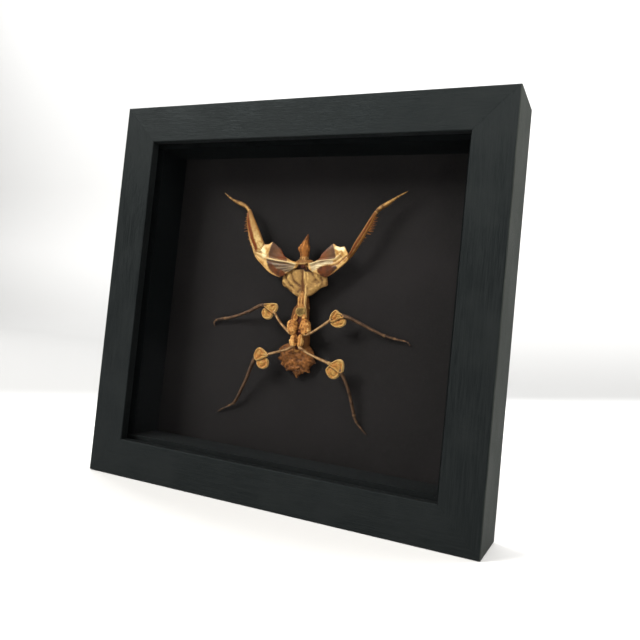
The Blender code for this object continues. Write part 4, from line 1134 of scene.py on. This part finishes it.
# Specimen: walking legs
LOBE_OFF = 8.07
WALKING_LEGS = {
    "middle_left": {
        "femur": (
            (-2.2, 7.6, -14.4, 0.8), (-5.6, 8.2, -11.6, 0.68), (-8.3, 8.4, -9.0, 0.62),
            (-12.0, 8.2, -4.4, 0.7),
        ),
        "shin": (
            (-16.6, 8.0, -1.7, 0.77), (-20.2, 7.6, -2.4, 1.0), (-27.2, 5.4, -5.5, 0.81),
            (-34.0, 3.6, -8.0, 0.72), (-40.4, 2.2, -9.8, 0.76), (-47.9, 1.4, -11.3, 0.51),
            (-50.2, 1.1, -13.1, 0.33), (-49.6, 0.9, -14.8, 0.22),
        ),
        "upper": (
            (-18.6, -1.7), (-15.0, -0.8), (-12.2, -0.5), (-10.4, -0.9), (-9.8, -2.6), (-10.5, -4.7),
            (-11.9, -5.8), (-13.4, -5.1), (-15.8, -3.7),
        ),
        "lower": (
            (-18.9, -5.6), (-18.2, -3.8), (-16.6, -2.9), (-14.6, -3.2), (-12.9, -4.4),
            (-12.4, -6.4), (-13.5, -8.3), (-15.6, -8.9), (-17.9, -8.0),
        ),
    },
    "middle_right": {
        "femur": (
            (5.8, 7.6, -14.6, 0.8), (8.8, 8.0, -13.6, 0.68), (13.5, 8.3, -10.4, 0.62),
            (19.4, 8.2, -5.8, 0.75),
        ),
        "shin": (
            (23.4, 8.0, -3.6, 0.83), (26.0, 7.9, -4.0, 1.04), (29.0, 7.0, -4.9, 0.86),
            (34.2, 5.0, -7.2, 0.79), (39.4, 3.6, -9.4, 0.72), (44.2, 2.4, -11.2, 0.68),
            (49.4, 1.6, -12.2, 0.51), (54.6, 1.1, -12.9, 0.31), (56.0, 0.9, -14.1, 0.22),
        ),
        "upper": (
            (18.1, -6.2), (18.6, -3.6), (19.9, -1.9), (21.3, -1.2), (23.2, -2.5), (25.7, -3.5),
            (25.4, -4.7), (23.4, -5.3), (21.6, -6.4), (19.6, -7.4),
        ),
        "lower": (
            (18.7, -7.4), (19.2, -8.6), (21.4, -9.6), (23.8, -9.4), (25.8, -8.2), (26.5, -6.6),
            (26.0, -5.2), (23.6, -4.8), (20.6, -5.6),
        ),
    },
    "hind_left": {
        "femur": (
            (0.4, 7.2, -20.6, 0.8), (-3.1, 7.8, -22.7, 0.68), (-6.6, 8.0, -23.9, 0.62),
            (-14.6, 8.1, -26.6, 0.75),
        ),
        "shin": (
            (-18.6, 8.0, -28.0, 0.83), (-20.3, 7.9, -29.6, 1.04), (-22.9, 6.8, -35.2, 0.86),
            (-25.8, 5.4, -41.7, 0.79), (-31.6, 2.6, -51.9, 0.76), (-34.4, 1.7, -54.2, 0.55),
            (-40.1, 1.2, -57.4, 0.31), (-41.9, 0.9, -58.7, 0.22),
        ),
        "upper": (
            (-20.5, -27.6), (-20.0, -25.0), (-18.7, -23.4), (-16.8, -23.2), (-14.8, -24.3),
            (-12.4, -26.0), (-13.0, -27.2), (-15.0, -28.2), (-17.0, -29.2), (-19.2, -29.8),
        ),
        "lower": (
            (-19.1, -30.4), (-17.9, -28.2), (-15.6, -27.4), (-13.2, -28.2), (-12.2, -30.2),
            (-12.8, -32.4), (-15.0, -33.6), (-17.6, -33.1),
        ),
    },
    "hind_right": {
        "femur": (
            (3.4, 7.2, -20.8, 0.8), (7.2, 7.8, -22.6, 0.68), (11.0, 8.0, -24.1, 0.62),
            (20.8, 8.1, -27.0, 0.8),
        ),
        "shin": (
            (25.8, 8.0, -28.4, 0.83), (27.0, 7.9, -31.0, 1.04), (28.6, 7.0, -34.0, 0.86),
            (30.2, 5.6, -38.4, 0.82), (31.8, 4.0, -44.2, 0.76), (33.1, 2.6, -49.9, 0.76),
            (34.3, 1.8, -53.0, 0.55), (37.1, 1.2, -56.0, 0.31), (38.8, 0.9, -57.6, 0.22),
        ),
        "upper": (
            (19.0, -26.8), (21.4, -26.2), (23.2, -25.0), (25.0, -24.3), (26.9, -24.6),
            (27.9, -26.6), (27.8, -29.2), (27.0, -30.9), (25.0, -30.3), (22.6, -29.0),
            (20.6, -28.2),
        ),
        "lower": (
            (18.5, -30.4), (19.6, -28.2), (22.0, -27.4), (24.6, -28.2), (25.9, -30.0),
            (25.4, -32.4), (23.2, -33.9), (20.6, -33.4),
        ),
    },
}


def lobe_relief(seed):
    """A thick curled rim round a sunk, softly creased middle."""
    def relief(x, z, along, across, rim):
        wander = rough_noise(x, z, 0, 2.4, 3, seed)
        crinkle = rough_noise(x, z, 3, 0.9, 3, seed + 1)
        return (
            0.42 * hump(rim - 0.5, 0.4)
            - 0.24 * hump(rim - 1.35 + 0.9 * wander, 0.4)
            - 0.3 * np.clip(rim / 1.8, 0, 1)
            + 0.6 * wander
            + 0.3 * crinkle
        )
    return relief


def build_leg(leg, seed):
    segmented(leg["femur"], 36, 12, "walking_femur", (0.02, 0.97))
    segmented(leg["shin"], 84, 10, "shin", (0.62, 0.74, 0.84, 0.92), 1.0)
    claw(*leg["shin"][-2:])
    pad(leg["upper"], LOBE_OFF, 1.25, 20, 64, "lobe", lobe_relief(seed))

    # Painted shadow: the lower lobe darkens under and just beside the upper one
    def marks(x, z, along, across, rim):
        return {"crease": np.clip(-patch_depth(x, z, leg["upper"]) - 0.1, 0, FAR)}

    pad(leg["lower"], 7.3, 1.4, 20, 64, "lobe", lobe_relief(seed + 5), marks)


def build_skin():
    build_forelegs()
    build_head()
    build_collar()
    build_shield()
    build_thorax()
    build_coxae()
    build_abdomen()
    for index, leg in enumerate(WALKING_LEGS.values()):
        build_leg(leg, 71 + index * 11)


def build_specimen():
    build_skin()
    points = np.concatenate(skin["points"])
    placed = np.empty_like(points)
    placed[:, 0] = points[:, 0] * MM
    placed[:, 1] = BOARD_Y - points[:, 1] * MM
    placed[:, 2] = MID_HEIGHT + points[:, 2] * MM
    mesh = bpy.data.meshes.new("mantis_specimen")
    mesh.from_pydata(placed.tolist(), [], skin["faces"])
    for slot, (make, *values) in LOOKS.items():
        mesh.materials.append(make(slot + "_cuticle", *values))
    mesh.polygons.foreach_set("material_index", skin["slots"])
    for name in MARKS:
        layer = mesh.attributes.new(name, "FLOAT", "POINT")
        layer.data.foreach_set("value", np.concatenate(skin["marks"][name]).astype(np.float32))
    face_outwards(mesh)
    mesh.shade_smooth()
    specimen = new_object("mantis_specimen", mesh)
    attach(specimen, "root")
    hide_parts("mantis")


# The frame's own surfaces
def repaint(names, material):
    for name in names:
        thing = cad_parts[name]
        thing.data.materials.clear()
        thing.data.materials.append(material)


def dress_frame():
    across = painted_wood("black_wood_across", (GRAIN_LENGTH, 1, 1))
    repaint(("frame_rail_top", "frame_rail_bottom"), across)
    upright = painted_wood("black_wood_up", (1, 1, GRAIN_LENGTH))
    repaint(("frame_rail_left", "frame_rail_right"), upright)
    repaint(("lining_top", "lining_left", "lining_right"), flat_black("black_lining"))
    # The bottom lining is lightened by painted light, standing in for light falling on it from
    # above
    repaint(("lining_bottom",), flat_black("top_lit_black_lining", 0.35))
    repaint(("mount_board",), charcoal_card("charcoal_card_face"))
    repaint(("backing_board",), hardboard("brown_hardboard"))
    fittings = [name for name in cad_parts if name.startswith(("backing_tab", "hanger"))]
    repaint(fittings, plated_steel("zinc_plate"))
    repaint(("glass_pane",), clear_glass("pane_glass"))
    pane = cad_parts["glass_pane"]
    pane.visible_shadow = False
    pane.visible_diffuse = False


# The frame's section in millimetres, and how the paint in a mitre lies below the rails' faces
MITRE_GAP = 0.25
MITRE_SINK = 0.05
MITRE_PLAY = 0.01
RAIL_FACE = 18.6
RAIL_WALL = 12.0
LIP_DEPTH = 4.8
FRAME_DEPTH = 33.0
OUTER_EASE = 0.8
INNER_EASE = 0.7
EASE_DIP = 0.25


def build_mitre_paint():
    """The black paint that bridges the hairline between two rails at each corner of the frame."""
    sink = MITRE_SINK
    wall, lip, foot = RAIL_WALL - sink, LIP_DEPTH - sink, FRAME_DEPTH - sink
    section = [
        (sink, OUTER_EASE), (EASE_DIP, EASE_DIP), (OUTER_EASE, sink),
        (RAIL_FACE - INNER_EASE, sink), (RAIL_FACE - EASE_DIP, EASE_DIP),
        (RAIL_FACE - sink, INNER_EASE), (RAIL_FACE - sink, lip), (wall, lip), (wall, foot),
        (sink, foot),
    ]
    section = [(inset + sink * 0.5 if inset < 1 else inset, depth) for inset, depth in section]
    half = (MITRE_GAP / 2 - MITRE_PLAY) / math.sqrt(2)
    points = []
    faces = []
    for side in (-1, 1):
        for end in (-1, 1):
            start = len(points)
            for step in (-half, half):
                for inset, depth in section:
                    x = side * (FRAME_HALF[0] - inset + step)
                    z = end * (FRAME_HALF[1] - inset - step)
                    points.append((x * MM, FRONT_Y + depth * MM, MID_HEIGHT + z * MM))
            count = len(section)
            ring = list(range(start, start + count))
            other = [index + count for index in ring]
            faces += [ring, other[::-1]]
            for index in range(count):
                after = (index + 1) % count
                faces.append([ring[index], other[index], other[after], ring[after]])
    mesh = bpy.data.meshes.new("mitre_paint")
    mesh.from_pydata(points, [], faces)
    face_outwards(mesh)
    mesh.materials.append(painted_wood("black_mitre_paint", (1, 1, 1)))
    bridge = new_object("mitre_paint", mesh)
    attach(bridge, "root")


# Floor, backdrop and light
# The white table ends where X, Y and Z times the first three add up to the last, in metres
TABLE_EDGE = (-0.922, 0.386, 6.54, 0.309)
# Paper tones: the white table, then greys just past its edge, farther away and up the sweep, which
# are painted shade lightened upwards by painted light from above
PAPER_TONES = (0.84, 0.45, 0.53, 0.74)
WORLD_STRENGTH = 0.09


def build_stage():
    """A pale floor that curves up into a backdrop."""
    half_width, front, back, rise, bend, drop = 3.0, -2.6, 1.5, 3.0, 0.5, 0.0002
    steps, columns = 12, 9
    profile = [(front, 0.0), (back - bend, 0.0)]
    for step in range(1, steps + 1):
        turn = math.pi / 2 * step / steps
        profile.append((back - bend + bend * math.sin(turn), bend - bend * math.cos(turn)))
    profile.append((back, rise))
    points = []
    faces = []
    for y, z in profile:
        for column in range(columns):
            points.append((-half_width + 2 * half_width * column / (columns - 1), y, z - drop))
    for row in range(len(profile) - 1):
        for column in range(columns - 1):
            first = row * columns + column
            faces.append((first, first + 1, first + columns + 1, first + columns))
    mesh = bpy.data.meshes.new("pale_floor")
    mesh.from_pydata(points, [], faces)
    mesh.shade_smooth()
    tones = [(tone, tone, tone * 0.995, 1) for tone in PAPER_TONES]
    mesh.materials.append(backdrop_paper("pale_paper", *tones))
    floor = new_object("pale_floor", mesh)


def soft_light(name, place, aim, size, power, colour=(1, 1, 1)):
    lamp = bpy.data.lights.new(name, "AREA")
    lamp.shape = "RECTANGLE"
    lamp.size, lamp.size_y = size
    lamp.energy = power
    lamp.color = colour
    thing = new_object(name, lamp)
    thing.location = place
    thing.visible_camera = False
    thing.rotation_euler = (Vector(aim) - Vector(place)).to_track_quat("-Z", "Y").to_euler()


def build_lights():
    soft_light("key", (-1.0, -1.2, 1.15), (0, 0, 0.1), (0.78, 0.78), 52, (1, 0.985, 0.955))
    near_corner = (0.09, -0.018, 0.17)
    soft_light("side_fill", (0.17, -0.09, 0.26), near_corner, (0.1, 0.1), 0.3, (1, 0.96, 0.91))
    soft_light("backdrop_wash", (-1.0, 0.5, 1.8), (-0.8, 1.5, 0.8), (2.6, 0.5), 34)
    soft_light("floor_wash", (0.45, 0.7, 1.5), (0.25, 0, 0), (1.2, 0.8), 16)
    world = bpy.data.worlds.new("studio")
    world.use_nodes = True
    light = world.node_tree.nodes["Background"].inputs
    light["Color"].default_value = (1, 1, 1, 1)
    light["Strength"].default_value = WORLD_STRENGTH
    bpy.context.scene.world = world
    bpy.context.scene.view_settings.view_transform = "Standard"


build_camera()
dress_frame()
build_mitre_paint()
build_specimen()
build_stage()
build_lights()
